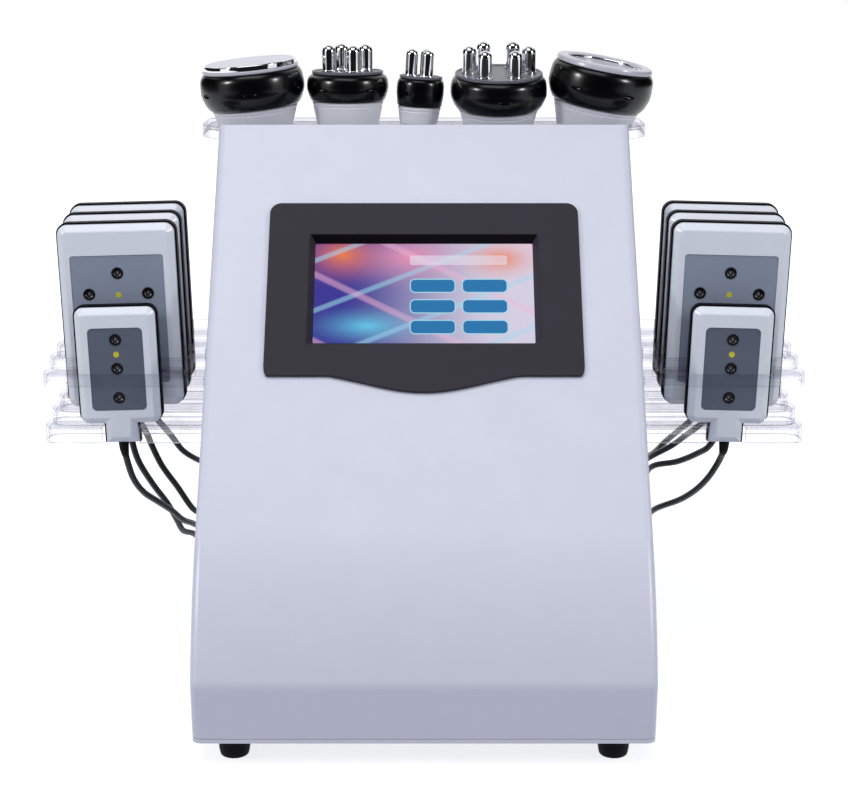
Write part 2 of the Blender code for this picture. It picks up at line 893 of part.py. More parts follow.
def base_outline():
    """Plan outline of the base tray, under the lower edge of the cover."""
    low = (-HALF_WIDTH, FRONT_Y + FOOT_EDGE_SETBACK)
    high = (HALF_WIDTH, REAR_Y)
    radii = (SIDE_EDGE_RADIUS, SIDE_EDGE_RADIUS, 0, 0)
    return rounded_rectangle(low, high, radii, SIDE_EDGE_SEGMENTS)


def build_base(material):
    """Base tray with an upstanding rim inside the cover."""
    tray = prism("base_tray", base_outline(), FOOT_HEIGHT, BASE_TOP, material)
    half = INNER_HALF_WIDTH - CLEARANCE
    front = FRONT_Y + FOOT_EDGE_SETBACK + HOUSING_WALL + CLEARANCE
    rear = PANEL_INNER_Y - CLEARANCE
    top = BASE_TOP + BASE_RIM_HEIGHT
    for name, inset, bottom, height in (
        ("base_rim", 0.0, BASE_TOP - WELD_OVERLAP, top),
        ("base_pocket", BASE_RIM_WALL, BASE_TOP, top + OVERRUN),
    ):
        low = (-half + inset, front + inset)
        high = (half - inset, rear - inset)
        radius = SIDE_EDGE_RADIUS - inset
        outline = rounded_rectangle(low, high, (radius, radius, 0, 0), SIDE_EDGE_SEGMENTS)
        operation = cut if inset else join
        operation(tray, prism(name, outline, bottom, height))


def build_feet(material):
    """Four rubber feet."""
    profile = (
        (FOOT_TOP_RADIUS, 0.0),
        (FOOT_RADIUS, FOOT_HEIGHT / 4),
        (FOOT_RADIUS, FOOT_HEIGHT - CLEARANCE),
    )
    for side, way_x in (("left", -1), ("right", 1)):
        for end, y in (
            ("front", FRONT_Y + FOOT_EDGE_SETBACK + FOOT_INSET_Y),
            ("rear", REAR_Y - FOOT_INSET_Y),
        ):
            place = Matrix.Translation((way_x * (HALF_WIDTH - FOOT_INSET_X), y, 0))
            turned(f"foot_{end}_{side}", profile, FOOT_SEGMENTS, material, place)


def socket_places():
    """Places of the handpiece sockets across the rear panel."""
    middle = (SOCKET_COUNT - 1) / 2
    return [(index - middle) * SOCKET_PITCH for index in range(SOCKET_COUNT)]


def build_rear_panel(material):
    """Rear panel with handpiece sockets, a fan grille and openings for the inlet and pad socket."""
    half = INNER_HALF_WIDTH - CLEARANCE
    bottom = BASE_TOP + CLEARANCE
    top = DECK_HEIGHT - HOUSING_WALL - CLEARANCE
    low = (-half, PANEL_INNER_Y, bottom)
    panel = block("rear_panel", low, (half, PANEL_OUTER_Y, top), material)
    ring_profile = ((SOCKET_RADIUS, -PANEL_THICKNESS / 2), (SOCKET_RADIUS, SOCKET_PROUD))
    bore_profile = ((SOCKET_BORE, SOCKET_PROUD - SOCKET_DEPTH), (SOCKET_BORE, SOCKET_PROUD + OVERRUN))
    for index, x in enumerate(socket_places()):
        place = rearward_matrix(x, PANEL_OUTER_Y, SOCKET_HEIGHT)
        join(panel, turned(f"socket_ring_{index}", ring_profile, SOCKET_SEGMENTS, None, place))
        cut(panel, turned(f"socket_bore_{index}", bore_profile, SOCKET_SEGMENTS, None, place))
    for index in range(VENT_SLOTS):
        height = FAN_HEIGHT + (index - (VENT_SLOTS - 1) / 2) * VENT_PITCH
        size = (VENT_SLOT_LENGTH, PANEL_THICKNESS + OVERRUN * 2, VENT_SLOT_HEIGHT)
        cut(panel, centred_block(f"vent_{index}", (FAN_X, PANEL_OUTER_Y, height), size))
    width = INLET_FLANGE_WIDTH - INLET_BODY_MARGIN * 2 + CLEARANCE * 2
    height = INLET_FLANGE_HEIGHT - INLET_BODY_MARGIN * 2 + CLEARANCE * 2
    size = (width, PANEL_THICKNESS + OVERRUN * 2, height)
    cut(panel, centred_block("inlet_cut", (INLET_X, PANEL_OUTER_Y, INLET_HEIGHT), size))
    radius = PAD_SOCKET_BODY_RADIUS + CLEARANCE
    hole = ((radius, -PANEL_THICKNESS - OVERRUN), (radius, OVERRUN))
    place = rearward_matrix(PLUG_X, PANEL_OUTER_Y, PLUG_HEIGHT)
    cut(panel, turned("pad_socket_cut", hole, SOCKET_SEGMENTS * 2, None, place))


def build_pad_socket(material):
    """Round socket of the pads, whose flange lies on the rear panel."""
    body = PAD_SOCKET_BODY_RADIUS
    bore = PLUG_NOSE + CLEARANCE
    profile = (
        (bore, -PAD_SOCKET_DEPTH),
        (body, -PAD_SOCKET_DEPTH),
        (body, CLEARANCE),
        (PAD_SOCKET_RADIUS, CLEARANCE),
        (PAD_SOCKET_RADIUS, PAD_SOCKET_PROUD),
        (bore, PAD_SOCKET_PROUD),
    )
    place = rearward_matrix(PLUG_X, PANEL_OUTER_Y, PLUG_HEIGHT)
    turned("pad_socket", profile, PLUG_SEGMENTS * 2, material, place, closed=True)


def bezel_outline():
    """Rounded plate whose lower edge swells down in the middle, about the middle of the window."""
    half = BEZEL_WIDTH / 2
    top = BEZEL_HEIGHT / 2 + WINDOW_DROP
    bottom = top - BEZEL_HEIGHT
    low_left = arc(
        (-half + BEZEL_CORNER, bottom + BEZEL_CORNER),
        BEZEL_CORNER,
        math.pi,
        1.5 * math.pi,
        BEZEL_CORNER_SEGMENTS,
    )
    swell = []
    for index in range(1, BEZEL_BELLY_POINTS):
        share = 2 * index / BEZEL_BELLY_POINTS - 1
        drop = BEZEL_BELLY * (1 + math.cos(math.pi * share)) / 2
        swell.append((share * BEZEL_BELLY_WIDTH / 2, bottom - drop))
    low_right = [(-x, y) for x, y in reversed(low_left)]
    high_right = arc(
        (half - BEZEL_CORNER, top - BEZEL_CORNER),
        BEZEL_CORNER,
        0.0,
        0.5 * math.pi,
        BEZEL_CORNER_SEGMENTS,
    )
    high_left = [(-x, y) for x, y in reversed(high_right)]
    return low_left + swell + low_right + high_right + high_left


def build_bezel(material):
    """Raised frame on the face, with a collar that reaches through the housing."""
    place = face_matrix(window_place())
    bezel = prism("screen_bezel", bezel_outline(), CLEARANCE, BEZEL_PROUD, material, place)
    half_width, half_height = collar_size(0.0)
    low = (-half_width, -half_height, -COLLAR_DEPTH)
    high = (half_width, half_height, CLEARANCE + WELD_OVERLAP)
    join(bezel, block("bezel_collar", low, high, matrix=place))
    shape = bmesh.new()
    levels = (
        (-COLLAR_DEPTH - OVERRUN, -WINDOW_DRAFT / 2),
        (-COLLAR_DEPTH, 0.0),
        (BEZEL_PROUD, WINDOW_DRAFT),
        (BEZEL_PROUD + OVERRUN, WINDOW_DRAFT + OVERRUN / 2),
    )
    rings = []
    for height, growth in levels:
        x = WINDOW_WIDTH / 2 + growth
        y = WINDOW_HEIGHT / 2 + growth
        corners = ((-x, -y), (x, -y), (x, y), (-x, y))
        rings.append([shape.verts.new((*corner, height)) for corner in corners])
    shape.faces.new(rings[0])
    shape.faces.new(rings[-1])
    for lower, upper in zip(rings, rings[1:]):
        for index in range(len(lower)):
            after = (index + 1) % len(lower)
            shape.faces.new((lower[index], lower[after], upper[after], upper[index]))
    cut(bezel, add_object("window_cut", finish_mesh("window_cut", shape), matrix=place))


def build_screen(material):
    """Touch screen behind the bezel's collar."""
    half_width = WINDOW_WIDTH / 2 + SCREEN_MARGIN
    half_height = WINDOW_HEIGHT / 2 + SCREEN_MARGIN
    top = -COLLAR_DEPTH - CLEARANCE
    low = (-half_width, -half_height, top - SCREEN_THICKNESS)
    high = (half_width, half_height, top)
    block("touch_screen", low, high, material, face_matrix(window_place()))


def handpiece_matrix(piece):
    """Place of a handpiece's axis, standing on the rack's plate and leaning as it rests there."""
    turn = Matrix.Rotation(piece.roll, 4, "Y") @ Matrix.Rotation(piece.lean, 4, "X")
    return Matrix.Translation((piece.across, HANDPIECE_ROW_Y, TRAY_TOP)) @ turn


def neck_slope(piece):
    """Growth of the neck's radius with its height above the rack."""
    return (piece.collar_radius - piece.seat_radius) / piece.ring_bottom


def tray_outline(inset):
    """Plan outline of the handpiece rack, or of its hollow underside at an inset."""
    half = TRAY_HALF_WIDTH - inset
    front = TRAY_FRONT_Y + inset
    rear = TRAY_FRONT_Y + TRAY_DEPTH - inset
    front_radius = TRAY_FRONT_CORNER - inset
    rear_radius = TRAY_REAR_CORNER - inset
    radii = (front_radius, front_radius, rear_radius, rear_radius)
    return rounded_rectangle((-half, front), (half, rear), radii, TRAY_CORNER_SEGMENTS)


def build_handle_rack(material):
    """Clear rack whose five holes fit the handpieces' necks, on two legs that stand on the deck."""
    low = TRAY_TOP - TRAY_SKIRT
    tray = prism("handle_rack", tray_outline(0.0), low, TRAY_TOP, material)
    cut(tray, prism("rack_hollow", tray_outline(TRAY_WALL), low - OVERRUN, TRAY_TOP - TRAY_PLATE))
    rear = TRAY_FRONT_Y + TRAY_DEPTH
    for side, way in (("left", -1), ("right", 1)):
        outer = way * (HALF_WIDTH - TRAY_LEG_INSET)
        inner = outer - way * TRAY_LEG_WIDTH
        corner = (min(outer, inner), rear - TRAY_WALL, DECK_HEIGHT + CLEARANCE)
        leg = block(f"rack_leg_{side}", corner, (max(outer, inner), rear, TRAY_TOP - TRAY_PLATE / 2))
        join(tray, leg)
    for piece in HANDPIECES:
        slope = neck_slope(piece)
        radius = piece.seat_radius + CLEARANCE
        depth = TRAY_SKIRT
        profile = ((radius - slope * depth, -depth), (radius + slope * depth, depth))
        name = f"{piece.name}_hole"
        cut(tray, turned(name, profile, HANDPIECE_SEGMENTS, None, handpiece_matrix(piece)))


def head_floor(piece):
    """Height of the underside of what sits in the ring's bore."""
    top = piece.ring_bottom + piece.ring_height
    if piece.cup_depth:
        return top + piece.head_height - piece.cup_depth - CUP_FLOOR
    return top - HEAD_SPIGOT


def build_neck(piece, material):
    """Tapered metal body, from the lead gland up into the ring's bore."""
    slope = neck_slope(piece)
    top = piece.ring_bottom - CLEARANCE
    spigot = piece.bore_radius - CLEARANCE
    sill = TRAY_SKIRT / 2
    profile = (
        (TAIL_GLAND_RADIUS, -piece.tail_depth - TAIL_GLAND_LENGTH),
        (TAIL_GLAND_RADIUS, -piece.tail_depth),
        (piece.tail_radius, -piece.tail_depth),
        (piece.seat_radius - slope * sill, -sill),
        (piece.seat_radius + slope * top, top),
        (spigot, top),
        (spigot, head_floor(piece) - CLEARANCE),
    )
    name = f"{piece.name}_neck"
    turned(name, profile, HANDPIECE_SEGMENTS, material, handpiece_matrix(piece))


def build_ring(piece, material):
    """Bulged grip ring with a bore for the neck and the head."""
    profile = [(piece.bore_radius, piece.ring_bottom)]
    for height_share, bulge_share in RING_BULGE_SHARES:
        foot = piece.ring_foot_radius
        straight = foot + (piece.ring_top_radius - foot) * height_share
        bulge = (piece.ring_radius - straight) * bulge_share
        profile.append((straight + bulge, piece.ring_bottom + piece.ring_height * height_share))
    profile.append((piece.bore_radius, piece.ring_bottom + piece.ring_height))
    name = f"{piece.name}_ring"
    turned(name, profile, HANDPIECE_SEGMENTS, material, handpiece_matrix(piece), closed=True)


def build_disc_head(piece, material):
    """Flat radiating disc on a rim, with a spigot in the ring."""
    top = piece.ring_bottom + piece.ring_height
    spigot = piece.bore_radius - CLEARANCE
    seat = top + CLEARANCE
    rim = top + DISC_RIM_HEIGHT
    disc_radius = piece.ring_top_radius - DISC_INSET
    profile = (
        (spigot, head_floor(piece)),
        (spigot, seat),
        (piece.ring_top_radius, seat),
        (piece.ring_top_radius, rim),
        (disc_radius, rim),
        (disc_radius, top + piece.head_height - CLEARANCE),
        (disc_radius - DISC_INSET / 2, top + piece.head_height),
    )
    name = f"{piece.name}_disc"
    turned(name, profile, HANDPIECE_SEGMENTS, material, handpiece_matrix(piece))


def build_cup_head(piece, material):
    """Vacuum cup, open at its top, with its lower part in the ring."""
    top = piece.ring_bottom + piece.ring_height
    mouth = top + piece.head_height
    spigot = piece.bore_radius - CLEARANCE
    floor = mouth - piece.cup_depth
    profile = (
        (0, head_floor(piece)),
        (spigot, head_floor(piece)),
        (spigot, top + CLEARANCE),
        (piece.ring_top_radius, top + CLEARANCE),
        (piece.ring_top_radius, mouth - EDGE_BREAK),
        (piece.ring_top_radius - EDGE_BREAK, mouth),
        (piece.cup_radius + EDGE_BREAK, mouth),
        (piece.cup_radius, floor),
        (0, floor),
    )
    name = f"{piece.name}_cup"
    turned(name, profile, HANDPIECE_SEGMENTS, material, handpiece_matrix(piece))


def pin_places(piece):
    """Places of the electrodes about the handpiece's axis."""
    turns = (piece.pin_turn + math.tau * index / piece.pins for index in range(piece.pins))
    return [(piece.pin_circle * math.cos(turn), piece.pin_circle * math.sin(turn)) for turn in turns]


def build_pin_head(piece, plate_material, pin_material):
    """Face plate with holes, and the domed electrodes that stand on a carrier under it."""
    top = piece.ring_bottom + piece.ring_height
    frame = handpiece_matrix(piece)
    seat = top + CLEARANCE
    plate_top = top + piece.head_height
    radius = piece.ring_top_radius
    plate_profile = ((radius, seat), (radius, plate_top - CLEARANCE), (radius - CLEARANCE, plate_top))
    plate = turned(f"{piece.name}_plate", plate_profile, HANDPIECE_SEGMENTS, plate_material, frame)
    carrier_radius = piece.bore_radius - CLEARANCE
    carrier_profile = ((carrier_radius, head_floor(piece)), (carrier_radius, top))
    name = f"{piece.name}_electrodes"
    electrodes = turned(name, carrier_profile, HANDPIECE_SEGMENTS, pin_material, frame)
    tip = plate_top + piece.pin_height
    shoulder = tip - piece.pin_radius
    pin_profile = [(piece.pin_radius, top - HEAD_SPIGOT / 2), (piece.pin_radius, shoulder)]
    for radius_share, height_share in PIN_DOME_SHARES:
        pin_profile.append((piece.pin_radius * radius_share, shoulder + piece.pin_radius * height_share))
    hole = piece.pin_radius + CLEARANCE
    hole_profile = ((hole, top - HEAD_SPIGOT / 2), (hole, tip))
    for index, (x, y) in enumerate(pin_places(piece)):
        place = frame @ Matrix.Translation((x, y, 0))
        pin = turned(f"{piece.name}_pin_{index}", pin_profile, PIN_SEGMENTS, None, place)
        join(electrodes, pin)
        cut(plate, turned(f"{piece.name}_hole_{index}", hole_profile, PIN_SEGMENTS, None, place))


def build_handpieces(steel, black, grey, chrome):
    """The five handpieces: a neck, a ring and a head each."""
    for piece in HANDPIECES:
        build_neck(piece, steel)
        build_ring(piece, black)
        if piece.pins:
            build_pin_head(piece, grey, chrome)
        elif piece.cup_depth:
            build_cup_head(piece, grey)
        else:
            build_disc_head(piece, chrome)


def bay_front(bay):
    """Depth of a bay's front edge."""
    return RACK_FRONT_Y + bay * RACK_BAY_DEPTH


def bay_rise(bay):
    """Height of a bay's plate above the front bay's."""
    return RACK_FIRST_STEP + (bay - 1) * RACK_STEP if bay else 0.0


def pad_matrix(pad, way):
    """Place of a pad's lower edge, with local Y up the pad and local Z towards the viewer."""
    back = bay_front(pad.bay) + pad.front_gap + pad.thickness
    tilt = pad.width / 2 * math.sin(PAD_LEAN)
    height = LOWER_TIER_TOP + bay_rise(pad.bay) + CLEARANCE + tilt
    lean = Matrix.Rotation(way * PAD_LEAN, 4, "Y")
    return Matrix.Translation((way * PAD_CENTRE_X, back, height)) @ lean @ facing_matrix(0, 0, 0)


def pad_outline(pad, play):
    """Upright outline of a pad with its neck, grown by a play all round."""
    half = pad.width / 2 + play
    neck = pad.neck_width / 2 + play
    corner = pad.corner
    body = rounded_rectangle((-half, -play), (half, pad.height + play), [corner] * 4, PAD_CORNER_SEGMENTS)
    per_corner = PAD_CORNER_SEGMENTS + 1
    neck_points = [(-neck, -play), (-neck, -pad.neck_length - play)]
    neck_points += [(-x, y) for x, y in reversed(neck_points)]
    return body[:per_corner] + neck_points + body[per_corner:]


def build_pad(pad, side, way, material):
    """One laser pad: a flat moulded case with a chamfered front and a neck for its lead."""
    front = pad.thickness - pad.chamfer_depth
    shape = prism_shape(pad_outline(pad, 0.0), 0.0, front)
    shape.faces.ensure_lookup_table()
    bmesh.ops.recalc_face_normals(shape, faces=shape.faces[:])
    face = max(shape.faces, key=lambda found: found.calc_center_median().z)
    bmesh.ops.inset_individual(shape, faces=[face], thickness=pad.chamfer, depth=pad.chamfer_depth)
    name = f"pad_{side}_{pad.name}"
    add_object(name, finish_mesh(name, shape), material, pad_matrix(pad, way))


def pad_slot(pad, side, way, tier):
    """Cutter for the slot that a pad slides through."""
    shape = prism_shape(pad_outline(pad, PAD_PLAY), -PAD_PLAY, pad.thickness + PAD_PLAY)
    name = f"{tier}_slot_{side}_{pad.name}"
    return add_object(name, finish_mesh(name, shape), matrix=pad_matrix(pad, way))


def neck_slot(pad, side, way):
    """Cutter for the slot in the lower tier that a pad's neck stands in, open in front of the first."""
    half = pad.neck_width / 2 + CLEARANCE
    low = (-half, -LOWER_TIER_SKIRT - OVERRUN, -CLEARANCE)
    open_front = 0 if pad.bay else pad.front_gap + OVERRUN
    high = (half, OVERRUN, pad.thickness + CLEARANCE + open_front)
    return block(f"neck_slot_{side}_{pad.name}", low, high, matrix=pad_matrix(pad, way))


def tier_bays(name, way, inner, top, skirt, inset):
    """The bays of a tier as bodies, or their hollows at an inset, each a step higher than the last."""
    bays = []
    for bay in range(RACK_BAYS):
        front = bay_front(bay) + inset
        rear = bay_front(bay) + RACK_BAY_DEPTH - inset + (0 if inset else WELD_OVERLAP)
        last = bay == RACK_BAYS - 1
        rear -= WELD_OVERLAP if last and not inset else 0
        reach = RACK_REACH - inset
        radius = RACK_END_RADIUS - inset
        low, high = (inner + inset, front), (reach, rear)
        outline = rounded_rectangle(low, high, (0, radius, radius, 0), RACK_END_SEGMENTS)
        if way < 0:
            outline = [(-x, y) for x, y in reversed(outline)]
        level = top + bay_rise(bay)
        bottom = level - skirt - (OVERRUN if inset else 0)
        bays.append(prism(f"{name}_bay_{bay}", outline, bottom, level - inset))
    return bays


def build_tier(name, way, inner, top, skirt, material):
    """A tier of four stepped bays, hollow from below."""
    bodies = tier_bays(name, way, inner, top, skirt, 0.0)
    mesh = bodies[0].data
    tier = add_object(name, mesh, material)
    bpy.data.objects.remove(bodies[0])
    join(tier, *bodies[1:])
    cut(tier, *tier_bays(f"{name}_hollow", way, inner, top, skirt, RACK_SHEET))
    return tier


def build_side_rack(side, way, material):
    """Lower tier with its mounting sheet on the housing's side, and the upper tier above it."""
    wall_inner = HALF_WIDTH + CLEARANCE
    wall_outer = wall_inner + RACK_MOUNT_SHEET
    rack_rear = bay_front(RACK_BAYS)
    inner = wall_outer - WELD_OVERLAP
    lower = build_tier(f"rack_{side}_lower", way, inner, LOWER_TIER_TOP, LOWER_TIER_SKIRT, material)
    bottom = LOWER_TIER_TOP - LOWER_TIER_SKIRT
    edges = sorted((way * wall_inner, way * wall_outer))
    low = (edges[0], RACK_FRONT_Y, bottom)
    join(lower, block(f"rack_{side}_wall", low, (edges[1], rack_rear, RACK_MOUNT_TOP)))
    ear = sorted((way * inner, way * (wall_outer + RACK_EAR_WIDTH)))
    ear_low = (ear[0], rack_rear - RACK_SHEET, LOWER_TIER_TOP + bay_rise(RACK_BAYS - 1) - RACK_SHEET)
    ear_high = (ear[1], rack_rear, RACK_MOUNT_TOP)
    join(lower, block(f"rack_{side}_ear", ear_low, ear_high))
    cut(lower, *(neck_slot(pad, side, way) for pad in PADS))
    inner = wall_outer + CLEARANCE
    upper = build_tier(f"rack_{side}_upper", way, inner, UPPER_TIER_TOP, UPPER_TIER_SKIRT, material)
    cut(upper, *(pad_slot(pad, side, way, "upper") for pad in PADS))
    notch_low = (ear[0] - CLEARANCE, rack_rear - RACK_SHEET - CLEARANCE, bottom)
    notch_high = (ear[1] + CLEARANCE, rack_rear + OVERRUN, RACK_MOUNT_TOP + OVERRUN)
    cut(upper, block(f"rack_{side}_ear_cut", notch_low, notch_high))


def build_side_racks(clear, white):
    """Both side racks and their eight pads."""
    for side, way in (("left", -1), ("right", 1)):
        build_side_rack(side, way, clear)
        for pad in PADS:
            build_pad(pad, side, way, white)


def inlet_centre(rise):
    """A place on the inlet's outer face, at a rise above its middle."""
    face = PANEL_OUTER_Y + CLEARANCE + INLET_FLANGE
    return INLET_X, face, INLET_HEIGHT + rise


def build_inlet(material):
    """Mains inlet module: a flange and a body, with a socket and a pocket for the switch."""
    x, face, z = inlet_centre(0.0)
    width, height = INLET_FLANGE_WIDTH, INLET_FLANGE_HEIGHT
    low = (x - width / 2, PANEL_OUTER_Y + CLEARANCE, z - height / 2)
    inlet = block("mains_inlet", low, (x + width / 2, face, z + height / 2), material)
    half_width = width / 2 - INLET_BODY_MARGIN
    half_height = height / 2 - INLET_BODY_MARGIN
    low = (x - half_width, face - INLET_BODY_DEPTH, z - half_height)
    high = (x + half_width, PANEL_OUTER_Y + CLEARANCE + WELD_OVERLAP, z + half_height)
    join(inlet, block("inlet_body", low, high))
    size = (INLET_SOCKET_WIDTH, INLET_SOCKET_DEPTH * 2, INLET_SOCKET_HEIGHT)
    cut(inlet, centred_block("inlet_socket", inlet_centre(-INLET_SOCKET_DROP), size))
    half_width = ROCKER_HALF_WIDTH + CLEARANCE
    half_height = ROCKER_HALF_HEIGHT + ROCKER_POCKET_PLAY
    depth = ROCKER_PIVOT_DEPTH + ROCKER_HALF_HEIGHT + CLEARANCE
    size = (half_width * 2, depth * 2, half_height * 2)
    cut(inlet, centred_block("switch_pocket", inlet_centre(SWITCH_RISE), size))


def build_switch(material):
    """Rocker whose origin is on its pivot, tipped to the side that it rests on."""
    outline = [(ROCKER_PIVOT_DEPTH + ROCKER_TIP_PROUD, ROCKER_HALF_HEIGHT)]
    outline += arc((0, 0), ROCKER_HALF_HEIGHT, math.pi / 2, 1.5 * math.pi, PIN_SEGMENTS)
    outline += [(ROCKER_PIVOT_DEPTH + ROCKER_TIP_PROUD, -ROCKER_HALF_HEIGHT)]
    outline += [(ROCKER_PIVOT_DEPTH + ROCKER_PROUD, 0)]
    x, face, z = inlet_centre(SWITCH_RISE)
    place = Matrix.Translation((x, face - ROCKER_PIVOT_DEPTH, z))
    place @= Matrix.Rotation(ROCKER_HALF_THROW, 4, "X") @ side_matrix()
    half = ROCKER_HALF_WIDTH
    prism("power_switch", outline, -half, half, material, place)


def build_fan(frame_material, rotor_material):
    """Cooling fan behind the grille: a square frame with a motor seat, and its bladed rotor."""
    rear = PANEL_INNER_Y - CLEARANCE
    place = rearward_matrix(FAN_X, rear, FAN_HEIGHT)
    half = FAN_SIZE / 2
    fan = block("cooling_fan", (-half, -half, -FAN_THICKNESS), (half, half, 0), frame_material, place)
    bore = ((FAN_BORE, -FAN_THICKNESS - OVERRUN), (FAN_BORE, OVERRUN))
    cut(fan, turned("fan_bore", bore, HANDPIECE_SEGMENTS, None, place))
    reach = FAN_BORE + FAN_STRUT / 2
    low = (-reach, -FAN_STRUT / 2, -FAN_STRUT)
    high = (reach, FAN_STRUT / 2, -CLEARANCE)
    join(fan, block("fan_strut_level", low, high, matrix=place))
    low = (-FAN_STRUT / 2, -reach, -FAN_STRUT)
    high = (FAN_STRUT / 2, reach, -CLEARANCE)
    join(fan, block("fan_strut_upright", low, high, matrix=place))
    seat = ((FAN_HUB_RADIUS, -FAN_STRUT - WELD_OVERLAP), (FAN_HUB_RADIUS, -CLEARANCE * 2))
    join(fan, turned("fan_motor_seat", seat, PUMP_SEGMENTS, None, place))
    hub_rear = -FAN_STRUT - WELD_OVERLAP - CLEARANCE
    hub_front = hub_rear - FAN_HUB_LENGTH
    hub = ((FAN_HUB_RADIUS, hub_front), (FAN_HUB_RADIUS, hub_rear))
    rotor = turned("fan_rotor", hub, PUMP_SEGMENTS, rotor_material, place)
    middle = (hub_rear + hub_front) / 2
    for index in range(FAN_BLADES):
        turn = Matrix.Rotation(math.tau * index / FAN_BLADES, 4, "Z")
        pitch = Matrix.Translation((0, 0, middle)) @ Matrix.Rotation(FAN_BLADE_PITCH, 4, "X")
        half_chord = FAN_BLADE_CHORD / 2
        half_thickness = FAN_BLADE_THICKNESS / 2
        low = (FAN_BLADE_ROOT, -half_chord, -half_thickness)
        high = (FAN_BLADE_TIP, half_chord, half_thickness)
        join(rotor, block(f"fan_blade_{index}", low, high, matrix=place @ turn @ pitch))


def on_base(size, place):
    """Low and high corners of a box that stands on the base tray."""
    low = (place[0] - size[0] / 2, place[1] - size[1] / 2, BASE_TOP + CLEARANCE)
    return low, (low[0] + size[0], low[1] + size[1], low[2] + size[2])


def build_pump(material):
    """Vacuum pump: a motor lying in a head, on a foot plate."""
    low, high = on_base(PUMP_BASE_SIZE, PUMP_PLACE)
    pump = block("vacuum_pump", low, high, material)
    axis_height = high[2] + PUMP_HEAD_SIZE[2] / 2
    head = Vector((low[0] + PUMP_HEAD_SIZE[0] / 2, PUMP_PLACE[1], axis_height - WELD_OVERLAP))
    join(pump, centred_block("pump_head", head, PUMP_HEAD_SIZE))
    profile = ((PUMP_RADIUS, 0.0), (PUMP_RADIUS, PUMP_LENGTH))
    place = Matrix.Translation(head) @ Matrix.Rotation(math.pi / 2, 4, "Y")
    join(pump, turned("pump_motor", profile, PUMP_SEGMENTS, None, place))


def build_board(material):
    """Control board on four standoffs, with its larger components."""
    size = (BOARD_SIZE[0], BOARD_SIZE[1], BOARD_STANDOFF_HEIGHT + BOARD_SIZE[2])
    low, high = on_base(size, BOARD_PLACE)
    board = block("control_board", (low[0], low[1], high[2] - BOARD_SIZE[2]), high, material)
    foot = BOARD_STANDOFF_SIZE / 2
    for index_x, x in enumerate((low[0] + BOARD_STANDOFF_INSET, high[0] - BOARD_STANDOFF_INSET)):
        for index_y, y in enumerate((low[1] + BOARD_STANDOFF_INSET, high[1] - BOARD_STANDOFF_INSET)):
            top = (x + foot, y + foot, high[2] - BOARD_SIZE[2] / 2)
            join(board, block(f"standoff_{index_x}{index_y}", (x - foot, y - foot, low[2]), top))
    for index in range(BOARD_CHIPS):
        x = BOARD_PLACE[0] + (index - (BOARD_CHIPS - 1) / 2) * BOARD_CHIP_PITCH
        centre = (x, BOARD_PLACE[1], high[2] + BOARD_CHIP_SIZE[2] / 2 - BOARD_SIZE[2] / 2)
        join(board, centred_block(f"chip_{index}", centre, BOARD_CHIP_SIZE))


def build_inside(metal, board_green, black):
    """Power supply, vacuum pump and control board on the base tray."""
    low, high = on_base(SUPPLY_SIZE, SUPPLY_PLACE)
    block("power_supply", low, high, metal)
    build_pump(black)
    build_board(board_green)


def between(knots, share):
    """Point at a share of the way from the second of four knots to the third, on a smooth curve."""
    times = [0.0]
    for before, after in zip(knots, knots[1:]):
        times.append(times[-1] + math.sqrt((after - before).length))
    time = times[1] + (times[2] - times[1]) * share
    points = list(knots)
    for span in (1, 2, 3):
        points = [
            points[index].lerp(points[index + 1], (time - times[low]) / (times[low + width] - times[low]))
            for index, low, width in blend_steps(span)
        ]
    return points[0]


def blend_steps(span):
    """Which points blend at each level of the curve, with their first knot and width in knots."""
    if span == 1:
        return ((0, 0, 1), (1, 1, 1), (2, 2, 1))
    return ((0, 0, 2), (1, 1, 2)) if span == 2 else ((0, 1, 1),)


def smooth_route(points, step, diameter):
    """Points about a step apart on a smooth curve through the route, off the ground.

    The first and last stretch of the route stay straight, so that both ends meet their pieces square.
    """
    knots = [Vector(point) for point in points]
    dense = []
    for four in zip(knots, knots[1:], knots[2:], knots[3:]):
        dense += [between(four, index / ROUTE_SAMPLES) for index in range(ROUTE_SAMPLES)]
    dense.append(knots[-2])
    length = sum((after - before).length for before, after in zip(dense, dense[1:]))
    count = round(length / step)
    spaced = [dense[0]]
    travelled = 0.0
    for before, after in zip(dense, dense[1:]):
        gap = (after - before).length
        while travelled + gap >= len(spaced) * length / count and len(spaced) < count:
            share = (len(spaced) * length / count - travelled) / gap
            spaced.append(before.lerp(after, share))
        travelled += gap
    spaced = [knots[0], *spaced, dense[-1], knots[-1]]
    for point in spaced:
        point.z = max(point.z, diameter / 2 + CLEARANCE / 2)
    return spaced


def tube(name, points, diameter, resolution, material):
    """A cord as a curve with a round bevel and filled ends."""
    curve = bpy.data.curves.new(name, "CURVE")
    curve.dimensions = "3D"
    curve.bevel_depth = diameter / 2
    curve.bevel_resolution = resolution
    curve.use_fill_caps = True
    spline = curve.splines.new("POLY")
    spline.points.add(len(points) - 1)
    for target, point in zip(spline.points, points):
        target.co = (*point, 1.0)
    made = bpy.data.objects.new(name, curve)
    bpy.context.scene.collection.objects.link(made)
    curve.materials.append(material)
    return made


